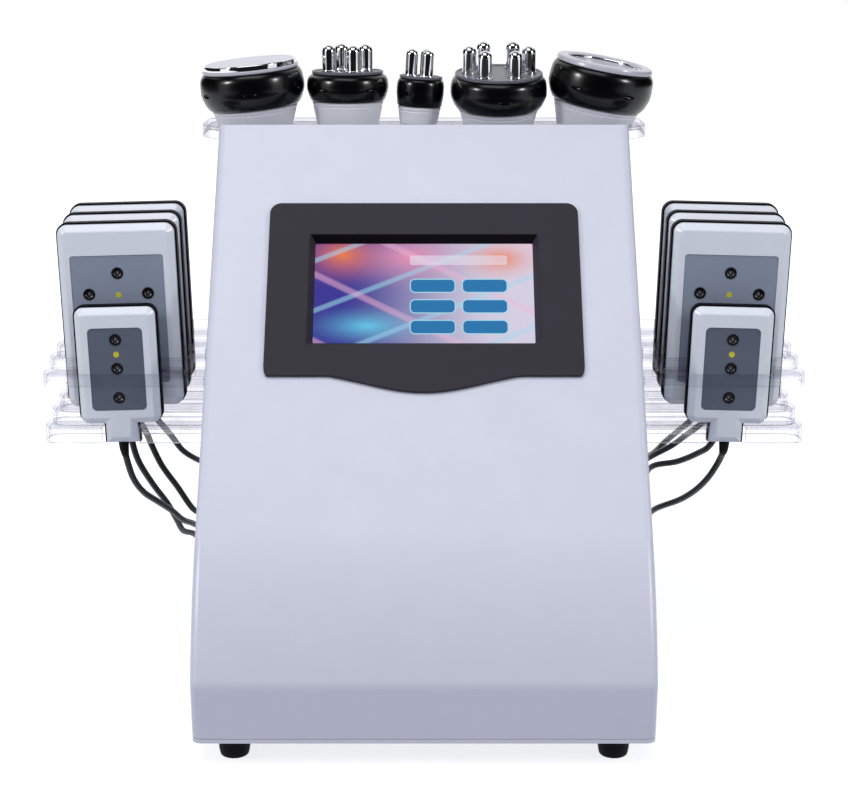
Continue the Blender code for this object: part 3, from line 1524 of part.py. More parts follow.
def coil_points():
    """Centre line of the coil: in along the ground, up a layer, and out again on top.

    It starts in line with the splitter's outlet, runs clockwise seen from above, and ends square
    to the trunk cord.
    """
    pitch = TRUNK_DIAMETER + COIL_TURN_GAP
    ground = TRUNK_DIAMETER / 2
    half = COIL_TURNS / 2
    outer = COIL_MID_RADIUS + pitch * half / 2
    steps = round(COIL_TURNS * COIL_POINTS_PER_TURN)
    centre = Vector((outer, COIL_CENTRE_Y, 0))
    start = SPLITTER_Y + SPLITTER_SIZE[1] / 2 + CLEARANCE
    points = [Vector((0, start, ground)), Vector((0, start + TRUNK_DIAMETER, ground))]
    for index in range(steps + 1):
        turn = COIL_TURNS * index / steps
        radius = outer - pitch * (half - abs(turn - half))
        climbed = min(max((turn - half) / COIL_CLIMB_TURNS + 0.5, 0.0), 1.0)
        height = ground + pitch * (1 - math.cos(math.pi * climbed)) / 2
        angle = math.pi - math.tau * turn
        place = Vector((math.cos(angle), math.sin(angle), 0)) * radius
        points.append(centre + place + Vector((0, 0, height)))
    run_out = Vector((-TRUNK_DIAMETER, 0, 0))
    points.append(points[-1] + run_out)
    return points


def least_gap(points, diameter):
    """Least gap between stretches of a tube that are not neighbours along it."""
    steps = [(after - before).length for before, after in zip(points, points[1:])]
    along = [0.0]
    for step in steps:
        along.append(along[-1] + step)
    least = math.inf
    for i, first in enumerate(points):
        for j in range(i + 1, len(points)):
            if along[j] - along[i] > diameter * math.pi:
                least = min(least, (points[j] - first).length)
    return least - diameter


def placed_route(points):
    """Points of a hand-laid route, moved with the rear corners of the housing."""
    wider = HALF_WIDTH / ROUTE_HALF_WIDTH
    return [(x * wider, y + REAR_Y - ROUTE_REAR_Y, z) for x, y, z in points]


def lead_points(pad, side, way):
    """Centre line of a pad's lead, straight down out of its neck and straight into the splitter."""
    name = f"{side}_{pad.name}"
    place = pad_matrix(pad, way)
    start = place @ Vector((0, -pad.neck_length - CLEARANCE, pad.thickness / 2))
    down = place.to_3x3() @ Vector((0, -LEAD_DIAMETER, 0))
    lane = (LEAD_LANES[name] - (RACK_BAYS - 1) / 2) * LEAD_LANE_PITCH
    end = Vector((way * (SPLITTER_SIZE[0] / 2 + CLEARANCE), SPLITTER_Y + lane, LEAD_LANE_HEIGHT))
    out = Vector((way * LEAD_DIAMETER, 0, 0))
    route = (start, start + down, *placed_route(LEAD_ROUTES[name]), end + out, end)
    return smooth_route(route, LEAD_STEP, LEAD_DIAMETER)


def trunk_points(coil_end):
    """Centre line of the trunk from the coil's outer end to the plug, straight at both."""
    run_out = Vector((-TRUNK_DIAMETER, 0, 0))
    start = Vector(coil_end) - Vector((CLEARANCE, 0, 0))
    end = Vector((PLUG_X, PANEL_OUTER_Y + plug_end() + CLEARANCE, PLUG_HEIGHT))
    back = Vector((0, TRUNK_DIAMETER, 0))
    route = (start, start + run_out, *placed_route(TRUNK_ROUTE), end + back, end)
    return smooth_route(route, TRUNK_STEP, TRUNK_DIAMETER)


def plug_end():
    """Distance from the rear panel to the cord end of the plug."""
    return PLUG_LENGTH + PAD_SOCKET_PROUD + CLEARANCE


def build_splitter(material):
    """Moulded splitter that the eight leads and the trunk run into."""
    low = (-SPLITTER_SIZE[0] / 2, SPLITTER_Y - SPLITTER_SIZE[1] / 2)
    high = (SPLITTER_SIZE[0] / 2, SPLITTER_Y + SPLITTER_SIZE[1] / 2)
    outline = rounded_rectangle(low, high, [SPLITTER_EDGE] * 4, SIDE_EDGE_SEGMENTS)
    prism("lead_splitter", outline, 0.0, SPLITTER_SIZE[2], material)


def build_plug(material):
    """Plug of the trunk cord, in its socket."""
    nose = PLUG_NOSE
    profile = (
        (nose, -PAD_SOCKET_DEPTH),
        (nose, PAD_SOCKET_PROUD + CLEARANCE),
        (PLUG_RADIUS, PAD_SOCKET_PROUD + CLEARANCE),
        (PLUG_RADIUS, PLUG_LENGTH - PLUG_RADIUS),
        (PLUG_TAIL_RADIUS, plug_end()),
    )
    place = rearward_matrix(PLUG_X, PANEL_OUTER_Y, PLUG_HEIGHT)
    turned("pad_plug", profile, PLUG_SEGMENTS, material, place)


def build_leads(rubber):
    """Eight pad leads, the splitter, and the trunk with its coil and plug."""
    for side, way in (("left", -1), ("right", 1)):
        for pad in PADS:
            points = lead_points(pad, side, way)
            tube(f"lead_{side}_{pad.name}", points, LEAD_DIAMETER, 2, rubber)
    build_splitter(rubber)
    coil = coil_points()
    tube("trunk_coil", coil, TRUNK_DIAMETER, 1, rubber)
    print("coil: least gap to itself", round(least_gap(coil, TRUNK_DIAMETER), 6))
    tube("trunk_cord", trunk_points(coil[-1]), TRUNK_DIAMETER, 2, rubber)
    build_plug(rubber)


def main():
    """Build every piece of the machine."""
    clear_scene()
    white = make_material("white_moulding", (0.80, 0.81, 0.87), 0.35)
    black_gloss = make_material("black_gloss", (0.03, 0.03, 0.035), 0.2)
    rubber = make_material("black_rubber", (0.02, 0.02, 0.02), 0.6)
    screen = make_material("screen_glass", (0.20, 0.25, 0.60), 0.1)
    clear = make_material("clear_acrylic", (0.85, 0.87, 0.90), 0.05, alpha=0.35)
    steel = make_material("satin_metal", (0.70, 0.70, 0.74), 0.3, metallic=0.9)
    chrome = make_material("chrome", (0.85, 0.85, 0.87), 0.05, metallic=1.0)
    grey = make_material("grey_plastic", (0.45, 0.45, 0.48), 0.3)
    metal = make_material("zinc_sheet", (0.60, 0.60, 0.60), 0.4, metallic=0.8)
    green = make_material("circuit_board", (0.05, 0.25, 0.10), 0.5)
    build_housing(white)
    build_base(white)
    build_feet(rubber)
    build_rear_panel(white)
    build_pad_socket(black_gloss)
    build_bezel(black_gloss)
    build_screen(screen)
    build_handle_rack(clear)
    build_handpieces(steel, black_gloss, grey, chrome)
    build_side_racks(clear, white)
    build_inlet(black_gloss)
    build_switch(black_gloss)
    build_fan(black_gloss, black_gloss)
    build_inside(metal, green, metal)
    build_leads(rubber)


main()
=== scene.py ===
"""Dressed scene of a table-top slimming machine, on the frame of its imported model.

Metres, +Z up, X to the viewer's right and Y away from the viewer. Each sub-assembly is a class that
holds its sizes and builds its own pieces. Each finish is a frozen dataclass named for the real
material and the way its surface was made.
"""

import logging
import math
from contextlib import contextmanager
from dataclasses import dataclass, field
from enum import Enum
from typing import Callable, Iterator, Sequence

import bmesh
import bpy
from mathutils import Matrix, Vector


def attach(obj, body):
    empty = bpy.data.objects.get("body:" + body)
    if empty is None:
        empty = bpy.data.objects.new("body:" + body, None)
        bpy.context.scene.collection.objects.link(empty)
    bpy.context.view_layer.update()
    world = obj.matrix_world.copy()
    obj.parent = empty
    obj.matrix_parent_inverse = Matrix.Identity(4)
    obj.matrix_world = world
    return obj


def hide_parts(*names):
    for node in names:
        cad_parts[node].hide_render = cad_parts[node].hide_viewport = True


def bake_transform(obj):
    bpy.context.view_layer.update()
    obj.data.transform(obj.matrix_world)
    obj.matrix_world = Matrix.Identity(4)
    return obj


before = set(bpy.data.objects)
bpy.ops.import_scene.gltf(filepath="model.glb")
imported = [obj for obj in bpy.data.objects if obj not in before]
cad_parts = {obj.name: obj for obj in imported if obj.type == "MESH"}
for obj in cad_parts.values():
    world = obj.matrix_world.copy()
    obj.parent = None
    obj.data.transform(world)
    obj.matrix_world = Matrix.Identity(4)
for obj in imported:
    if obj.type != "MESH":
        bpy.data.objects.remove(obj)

LOG = logging.getLogger("slimming_machine")
ROOT = "machine"

Piece = bpy.types.Object
Material = bpy.types.Material
Tree = bpy.types.NodeTree
Node = bpy.types.Node
Socket = bpy.types.NodeSocket
Point = tuple[float, float, float]
Profile = Sequence[tuple[float, float]]

# Sizes that several sub-assemblies share, as in the part's source
CLEARANCE = 0.0003
HALF_WIDTH = 0.1725
FRONT_Y = -0.200
REAR_Y = 0.200
RIDGE_Y = 0.1005
RIDGE_HEIGHT = 0.4460
CHIN_HEIGHT = 0.102
FACE_SLOPE = math.atan2(RIDGE_HEIGHT - CHIN_HEIGHT, RIDGE_Y - FRONT_Y)
DECK_HEIGHT = 0.390
LIP_REAR_Y = 0.104
SEAM_TOP = 0.0235
PANEL_Y = 0.1925
WINDOW_CENTRE = 0.1605
SPLITTER_Y = 0.224
TRAY_TOP = 0.443
HANDPIECE_ROW_Y = 0.152
PLUG_X = -0.076
PLUG_HEIGHT = 0.110

# Places of the pads in the side racks
PAD_CENTRE_X = 0.2465
PAD_LEAN = math.radians(1.5)
RACK_FRONT_Y = -0.017
BAY_DEPTH = 0.030
LOWER_TIER_TOP = 0.2143
FIRST_STEP = 0.0068
STEP = 0.0034

# How near two coordinates count as one
SAME = 1e-6
NEAR = 1e-5
CLOSE = 1e-4


class Side(Enum):
    """The two sides of the machine, with the way that each lies along X."""

    LEFT = -1
    RIGHT = 1

    @property
    def label(self) -> str:
        """Name of the side in the nodes' names."""
        return self.name.lower()


class Head(Enum):
    """What a handpiece carries on top of its ring."""

    DISC = "disc"
    PINS = "pins"
    CUP = "cup"


# Modelling helpers


def only(piece: Piece) -> None:
    """Select one piece alone and make it active."""
    bpy.ops.object.select_all(action="DESELECT")
    piece.select_set(True)
    bpy.context.view_layer.objects.active = piece


def settle(piece: Piece, matrix: Matrix | None = None) -> Piece:
    """Put a piece at its place and bake the place into its mesh.

    Args:
        piece: The piece, with its object at the origin if a matrix is given.
        matrix: Its place, or None to bake the place that it has.

    Returns:
        The same piece, with its object at the origin, unturned and unscaled.
    """
    if matrix is not None:
        piece.matrix_world = matrix
    only(piece)
    bpy.ops.object.transform_apply(location=True, rotation=True, scale=True)
    return piece


def named(name: str) -> Piece:
    """Name the primitive that was just added, and bake its place."""
    piece = bpy.context.object
    piece.name = name
    piece.data.name = name
    return settle(piece)


def block(name: str, low: Sequence[float], high: Sequence[float]) -> Piece:
    """Add a box between two corners, as the start of a piece or as a cutter."""
    centre = [(a + b) / 2 for a, b in zip(low, high)]
    size = [b - a for a, b in zip(low, high)]
    bpy.ops.object.select_all(action="DESELECT")
    bpy.ops.mesh.primitive_cube_add(size=1, location=centre, scale=size)
    return named(name)


@contextmanager
def editing(piece: Piece, mode: str, whole: bool = False) -> Iterator[None]:
    """Open a piece in edit mode, and close it again.

    Args:
        piece: The piece to edit.
        mode: VERT, EDGE or FACE.
        whole: True to start with everything selected, False to start with nothing.
    """
    only(piece)
    bpy.ops.object.mode_set(mode="EDIT")
    bpy.ops.mesh.select_mode(type=mode)
    bpy.ops.mesh.select_all(action="SELECT" if whole else "DESELECT")
    yield
    bpy.ops.object.mode_set(mode="OBJECT")


def pick_faces(piece: Piece, test: Callable[[Vector, Vector], bool]) -> None:
    """Select the faces whose centre and normal pass a test, in edit mode."""
    mesh = bmesh.from_edit_mesh(piece.data)
    for face in mesh.faces:
        face.select_set(test(face.calc_center_median(), face.normal))
    mesh.select_flush_mode()
    bmesh.update_edit_mesh(piece.data)


def pick_edges(piece: Piece, test: Callable[[Vector, Vector], bool]) -> None:
    """Select the edges whose two ends pass a test, in edit mode."""
    mesh = bmesh.from_edit_mesh(piece.data)
    for edge in mesh.edges:
        edge.select_set(test(edge.verts[0].co, edge.verts[1].co))
    mesh.select_flush_mode()
    bmesh.update_edit_mesh(piece.data)


def modify(piece: Piece, kind: str, **settings: object) -> None:
    """Add a modifier with its settings, and apply it."""
    only(piece)
    made = piece.modifiers.new(kind.title(), kind)
    for key, value in settings.items():
        setattr(made, key, value)
    bpy.ops.object.modifier_apply(modifier=made.name)


def cut(piece: Piece, cutter: Piece, operation: str = "DIFFERENCE") -> None:
    """Apply an exact Boolean of a piece with a cutter, and remove the cutter."""
    modify(piece, "BOOLEAN", object=cutter, operation=operation, solver="EXACT")
    bpy.data.objects.remove(cutter, do_unlink=True)


def round_edges(piece: Piece, width: float, segments: int = 3, angle: float = 35,
                material: int = -1) -> None:
    """Round the edges sharper than an angle in degrees, and shade the piece smooth."""
    modify(
        piece,
        "BEVEL",
        width=width,
        segments=segments,
        limit_method="ANGLE",
        angle_limit=math.radians(angle),
        miter_outer="MITER_ARC",
        material=material,
    )
    shade(piece)


def shade(piece: Piece, angle: float = 32) -> None:
    """Shade a piece smooth but for sharp edges, and keep its flat faces flat beside a rounding."""
    only(piece)
    bpy.ops.object.shade_smooth_by_angle(angle=math.radians(angle))
    modify(piece, "WEIGHTED_NORMAL", keep_sharp=True)


def close_up(piece: Piece, caps: bool) -> None:
    """Merge a turned shape's doubles, close its ends and turn its faces outwards."""
    with editing(piece, "VERT", whole=True):
        bpy.ops.mesh.remove_doubles(threshold=0.000001)
        if caps:
            bpy.ops.mesh.fill_holes(sides=0)
        bpy.ops.mesh.select_all(action="SELECT")
        bpy.ops.mesh.normals_make_consistent(inside=False)


def turned(name: str, profile: Profile, segments: int = 64, closed: bool = False) -> Piece:
    """Turn a piece about Z, from a circle that is drawn out and resized step by step.

    Args:
        name: Name of the piece.
        profile: Radius and height of each step.
        segments: Sides of the circle.
        closed: True for a ring, whose last step is its first one.

    Returns:
        The piece, closed and with its faces outwards.
    """
    radius, height = profile[0]
    bpy.ops.object.select_all(action="DESELECT")
    bpy.ops.mesh.primitive_circle_add(vertices=segments, radius=radius, location=(0, 0, height))
    piece = named(name)
    steps = list(profile) + ([profile[0]] if closed else [])
    with editing(piece, "EDGE", whole=True):
        for before, after in zip(steps, steps[1:]):
            move = {"value": (0, 0, after[1] - before[1])}
            bpy.ops.mesh.extrude_edges_move(TRANSFORM_OT_translate=move)
            grow = after[0] / before[0]
            bpy.ops.transform.resize(value=(grow, grow, 1), center_override=(0, 0, after[1]))
    close_up(piece, not closed)
    return piece


def plate(name: str, half: tuple[float, float], radii: Sequence[float], low: float, high: float,
          centre: tuple[float, float] = (0.0, 0.0), segments: int = 10) -> Piece:
    """A flat plate with its own radius at each corner.

    Args:
        name: Name of the piece.
        half: Half width and half height.
        radii: Radii of the lower left, lower right, upper right and upper left corner.
        low: Height of its underside.
        high: Height of its top.
        centre: Its middle.
        segments: Faces round each corner.

    Returns:
        The plate.
    """
    low_corner = (centre[0] - half[0], centre[1] - half[1], low)
    piece = block(name, low_corner, (centre[0] + half[0], centre[1] + half[1], high))
    ways = ((-1, -1), (1, -1), (1, 1), (-1, 1))
    for radius in sorted(set(radii) - {0.0}):
        corners = [way for way, found in zip(ways, radii) if found == radius]
        with editing(piece, "EDGE"):
            pick_edges(
                piece,
                lambda a, b: abs(a.z - b.z) > (high - low) / 2
                and any(
                    abs(a.x - centre[0] - x * half[0]) < SAME and abs(a.y - centre[1] - y * half[1]) < SAME
                    for x, y in corners
                ),
            )
            bpy.ops.mesh.bevel(offset=radius, offset_type="OFFSET", segments=segments, profile=0.5)
    return piece


def copied(piece: Piece, name: str, matrix: Matrix) -> Piece:
    """Copy a finished piece, with its own mesh, to another place."""
    twin = piece.copy()
    twin.data = piece.data.copy()
    twin.name = name
    twin.data.name = name
    bpy.context.scene.collection.objects.link(twin)
    twin.data.transform(matrix)
    return twin


def discard(piece: Piece) -> None:
    """Remove a pattern piece whose copies stand in the scene."""
    bpy.data.objects.remove(piece, do_unlink=True)


def joined(name: str, pieces: Sequence[Piece]) -> Piece:
    """Join pieces of one finish into one object."""
    bpy.ops.object.select_all(action="DESELECT")
    for piece in pieces:
        piece.select_set(True)
    bpy.context.view_layer.objects.active = pieces[0]
    bpy.ops.object.join()
    pieces[0].name = name
    return pieces[0]


def refined(node: str, name: str, width: float, segments: int = 3, rimmed: bool = False) -> Piece:
    """Copy a CAD node, merge its loose triangles into clean faces and round its edges.

    Args:
        node: Name of the CAD node.
        name: Name of the new piece.
        width: Width of the rounding.
        segments: Faces across the rounding.
        rimmed: True for a clear piece with polished rims.

    Returns:
        The new piece, which the caller lets replace the node.
    """
    source = bpy.data.objects[node]
    piece = source.copy()
    piece.data = source.data.copy()
    piece.name = name
    piece.parent = None
    piece.matrix_world = source.matrix_world.copy()
    for key in list(piece.keys()):
        del piece[key]
    bpy.context.scene.collection.objects.link(piece)
    piece.hide_render = False
    settle(piece)
    with editing(piece, "VERT", whole=True):
        bpy.ops.mesh.remove_doubles(threshold=0.000005)
        bpy.ops.mesh.dissolve_limited(angle_limit=math.radians(1))
        bpy.ops.mesh.normals_make_consistent(inside=False)
    if rimmed:
        rim(piece)
    round_edges(piece, width, segments, 40, 1 if rimmed else -1)
    return piece


def rim(piece: Piece) -> None:
    """Give a clear piece its two finishes, of which the second is for the rims that are rounded next."""
    piece.data.materials.clear()
    piece.data.materials.append(Finishes.acrylic.build())
    piece.data.materials.append(Finishes.acrylic_rim.build())


def dress(piece: Piece, material: Material | None, body: str, slot: str,
          *nodes: str) -> Piece:
    """Give a piece its finish and its body, and hide the nodes that it stands for.

    Args:
        piece: The piece.
        material: Its finish, or None if it has its finishes.
        body: The body that it rides on.
        slot: Not used.
        nodes: CAD nodes that it replaces.

    Returns:
        The same piece.
    """
    if material:
        piece.data.materials.clear()
        piece.data.materials.append(material)
    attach(piece, body)
    if nodes:
        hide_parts(*nodes)
    LOG.info("%s rides on %s", piece.name, body)
    return piece


def set_in(piece: Piece, angle: float, place: Matrix, material: Material, body: str, slot: str,
           *nodes: str) -> Piece:
    """Shade a turned piece at an angle in degrees, put it at its place and dress it."""
    shade(piece, angle)
    settle(piece, place)
    return dress(piece, material, body, slot, *nodes)


def stepped(radius: float, height: float, steps: Profile) -> list[tuple[float, float]]:
    """A profile whose steps are given from a radius and a height."""
    return [(radius + out, height + up) for out, up in steps]


def around(radius: float, turn: float) -> Point:
    """Point at a radius and a turn about Z."""
    return (radius * math.cos(turn), radius * math.sin(turn), 0)


def face_matrix(down_slope: float) -> Matrix:
    """Local XY in the sloping face, at a distance down from the ridge, and local Z out of it."""
    along = Vector((0, math.cos(FACE_SLOPE), math.sin(FACE_SLOPE)))
    centre = Vector((0, RIDGE_Y, RIDGE_HEIGHT)) - along * down_slope
    return Matrix.Translation(centre) @ Matrix.Rotation(FACE_SLOPE, 4, "X")


def rearward_matrix(x: float, y: float, z: float) -> Matrix:
    """Local Z towards the rear, away from the viewer, and local Y up."""
    return Matrix.Translation((x, y, z)) @ Matrix(((-1, 0, 0, 0), (0, 0, 1, 0), (0, 1, 0, 0), (0, 0, 0, 1)))


# Finishes


def linear(colour: str) -> tuple[float, float, float, float]:
    """Turn an sRGB hex colour into a linear one."""
    shares = [int(colour[index : index + 2], 16) / 255 for index in (0, 2, 4)]
    low, high = [share / 12.92 for share in shares], [((share + 0.055) / 1.055) ** 2.4 for share in shares]
    return (*(a if share <= 0.04045 else b for share, a, b in zip(shares, low, high)), 1.0)


def add_node(tree: Tree, kind: str, settings: dict | None = None,
             inputs: dict | None = None) -> Node:
    """Add a shader node with its settings, and set or link its inputs.

    Args:
        tree: The node tree.
        kind: The node's type.
        settings: Its properties.
        inputs: Its sockets by name or number, each with a value or with a socket to link from.

    Returns:
        The node.
    """
    made = tree.nodes.new(kind)
    for key, value in (settings or {}).items():
        setattr(made, key, value)
    for key, value in (inputs or {}).items():
        if isinstance(value, Socket):
            tree.links.new(value, made.inputs[key])
        else:
            made.inputs[key].default_value = value
    return made


# Settings that several nodes share
RGBA = {"data_type": "RGBA"}
SMOOTH = {"interpolation_type": "SMOOTHSTEP"}
TEXTURE = {"vector_type": "TEXTURE"}


@dataclass(frozen=True)
class Finish:
    """A finish: its colour, its gloss, and the spacing and depth of its grain in millimetres."""

    name: str
    colour: str
    roughness: float
    shade_colour: str = ""
    metallic: float = 0.0
    transmission: float = 0.0
    ior: float = 1.5
    specular: float = 0.5
    grain: float = 1.0
    depth: float = 0.0
    patch: float = 30.0
    wear: float = 0.05

    def build(self, turn: Matrix | None = None) -> Material:
        """Make the material, or find it if it is made.

        Args:
            turn: Place of the piece's axis, for a pattern that goes round it.

        Returns:
            The material.
        """
        name = self.name if turn is None else f"{self.name}_{turn.to_translation().x:+.3f}"
        found = bpy.data.materials.get(name)
        if found:
            return found
        material = bpy.data.materials.new(name)
        material.use_nodes = True
        tree = material.node_tree
        shader = tree.nodes["Principled BSDF"]
        for socket, value in (
            ("Metallic", self.metallic),
            ("Transmission Weight", self.transmission),
            ("IOR", self.ior),
            ("Specular IOR Level", self.specular),
        ):
            shader.inputs[socket].default_value = value
        place = add_node(tree, "ShaderNodeTexCoord").outputs["Object"]
        if turn is not None:
            back = turn.inverted()
            place = add_node(
                tree,
                "ShaderNodeMapping",
                {},
                {0: place, "Location": back.to_translation(), "Rotation": back.to_euler("XYZ")},
            ).outputs[0]
        self.paint(tree, shader, place)
        return material

    def paint(self, tree: Tree, shader: Node, place: Socket) -> None:
        """Add the colour's slow variation, the gloss's variation and the fine grain."""
        patches = add_node(tree, "ShaderNodeTexNoise", {}, {0: place, "Scale": 1000 / self.patch, "Detail": 3.0})
        tint = add_node(
            tree,
            "ShaderNodeMix",
            RGBA,
            {0: patches.outputs[0], 6: linear(self.colour), 7: linear(self.shade_colour or self.colour)},
        )
        tree.links.new(tint.outputs[2], shader.inputs["Base Color"])
        gloss = add_node(
            tree,
            "ShaderNodeMapRange",
            {},
            {
                0: patches.outputs[0],
                "To Min": max(self.roughness - self.wear, 0.0),
                "To Max": min(self.roughness + self.wear, 1.0),
            },
        )
        tree.links.new(gloss.outputs[0], shader.inputs["Roughness"])
        if self.depth:
            self.bump(tree, shader, self.grain_height(tree, place), self.depth)

    def grain_height(self, tree: Tree, place: Socket) -> Socket:
        """Height of the surface's grain, from 0 to 1."""
        grain = add_node(tree, "ShaderNodeTexNoise", {}, {0: place, "Scale": 1000 / self.grain, "Detail": 2.0})
        return grain.outputs[0]

    def bump(self, tree: Tree, shader: Node, height: Socket,
             depth: float) -> None:
        """Turn a height into the shader's normal, for a depth in millimetres."""
        bump = add_node(tree, "ShaderNodeBump", {}, {"Distance": depth / 1000, "Height": height})
        tree.links.new(bump.outputs[0], shader.inputs["Normal"])


@dataclass(frozen=True)
class TurnedMetal(Finish):
    """Metal turned on a lathe: fine rings round the axis, which draw the light out along it."""

    pitch: float = 1.6

    def grain_height(self, tree: Tree, place: Socket) -> Socket:
        """Height of the tool's rings, whose real pitch of 0.2 mm is drawn coarser so that it shows."""
        rings = add_node(
            tree,
            "ShaderNodeTexWave",
            {"wave_type": "BANDS", "bands_direction": "Z"},
            {0: place, "Scale": 314 / self.pitch, "Distortion": 0.6, "Detail": 2.0, "Detail Scale": 3.0},
        )
        return rings.outputs[1]


@dataclass(frozen=True)
class ClearAcrylic(Finish):
    """Cast sheet, of which a share lets light straight through, so that stacked walls stay clear."""

    straight: float = 0.93
    tint: str = "fbfbfc"
    # Tint of the straight share seen at a slant: darker, partly for the longer way through the sheet and partly as
    # painted shade at edges.
    slant_tint: str = "dadade"

    def paint(self, tree: Tree, shader: Node, place: Socket) -> None:
        """Paint the refracting share, and mix in the straight one, darker at a slant: partly for the longer way
        through, partly painted shade that draws dark lines at edges.
        """
        super().paint(tree, shader, place)
        facing = add_node(tree, "ShaderNodeLayerWeight").outputs["Facing"]
        slant = add_node(tree, "ShaderNodeMapRange", {}, {0: facing, "From Min": 0.45, "From Max": 0.95})
        tint = add_node(
            tree,
            "ShaderNodeMix",
            RGBA,
            {0: slant.outputs[0], 6: linear(self.tint), 7: linear(self.slant_tint)},
        )
        clear = add_node(tree, "ShaderNodeBsdfTransparent", {}, {0: tint.outputs[2]})
        mixed = add_node(
            tree,
            "ShaderNodeMixShader",
            {},
            {0: self.straight, 1: shader.outputs[0], 2: clear.outputs[0]},
        )
        tree.links.new(mixed.outputs[0], tree.nodes["Material Output"].inputs[0])


@dataclass(frozen=True)
class SpangledZinc(Finish):
    """Hot-dip galvanised sheet: flat crystals of differing grey, 6 mm across."""

    def paint(self, tree: Tree, shader: Node, place: Socket) -> None:
        """Give each crystal its own grey and gloss."""
        cells = add_node(tree, "ShaderNodeTexVoronoi", {}, {0: place, "Scale": 1000 / self.grain})
        tint = add_node(
            tree,
            "ShaderNodeMix",
            RGBA,
            {0: cells.outputs[1], 6: linear(self.colour), 7: linear(self.shade_colour)},
        )
        tree.links.new(tint.outputs[2], shader.inputs["Base Color"])
        gloss = add_node(tree, "ShaderNodeMapRange", {}, {0: cells.outputs[1], "To Min": 0.3, "To Max": 0.5})
        tree.links.new(gloss.outputs[0], shader.inputs["Roughness"])


@dataclass(frozen=True)
class SolderMask(Finish):
    """Fibreglass board under green solder mask, with paler tracks in a square grid."""

    def paint(self, tree: Tree, shader: Node, place: Socket) -> None:
        """Draw the tracks with a brick pattern, 4 mm by 2 mm."""
        tracks = add_node(
            tree,
            "ShaderNodeTexBrick",
            {"offset": 0.5},
            {
                0: place,
                "Color1": linear(self.colour),
                "Color2": linear(self.colour),
                "Mortar": linear(self.shade_colour),
                "Scale": 1000 / self.grain,
                "Mortar Size": 0.03,
            },
        )
        tree.links.new(tracks.outputs[0], shader.inputs["Base Color"])
        shader.inputs["Roughness"].default_value = self.roughness
        self.bump(tree, shader, tracks.outputs[1], self.depth)


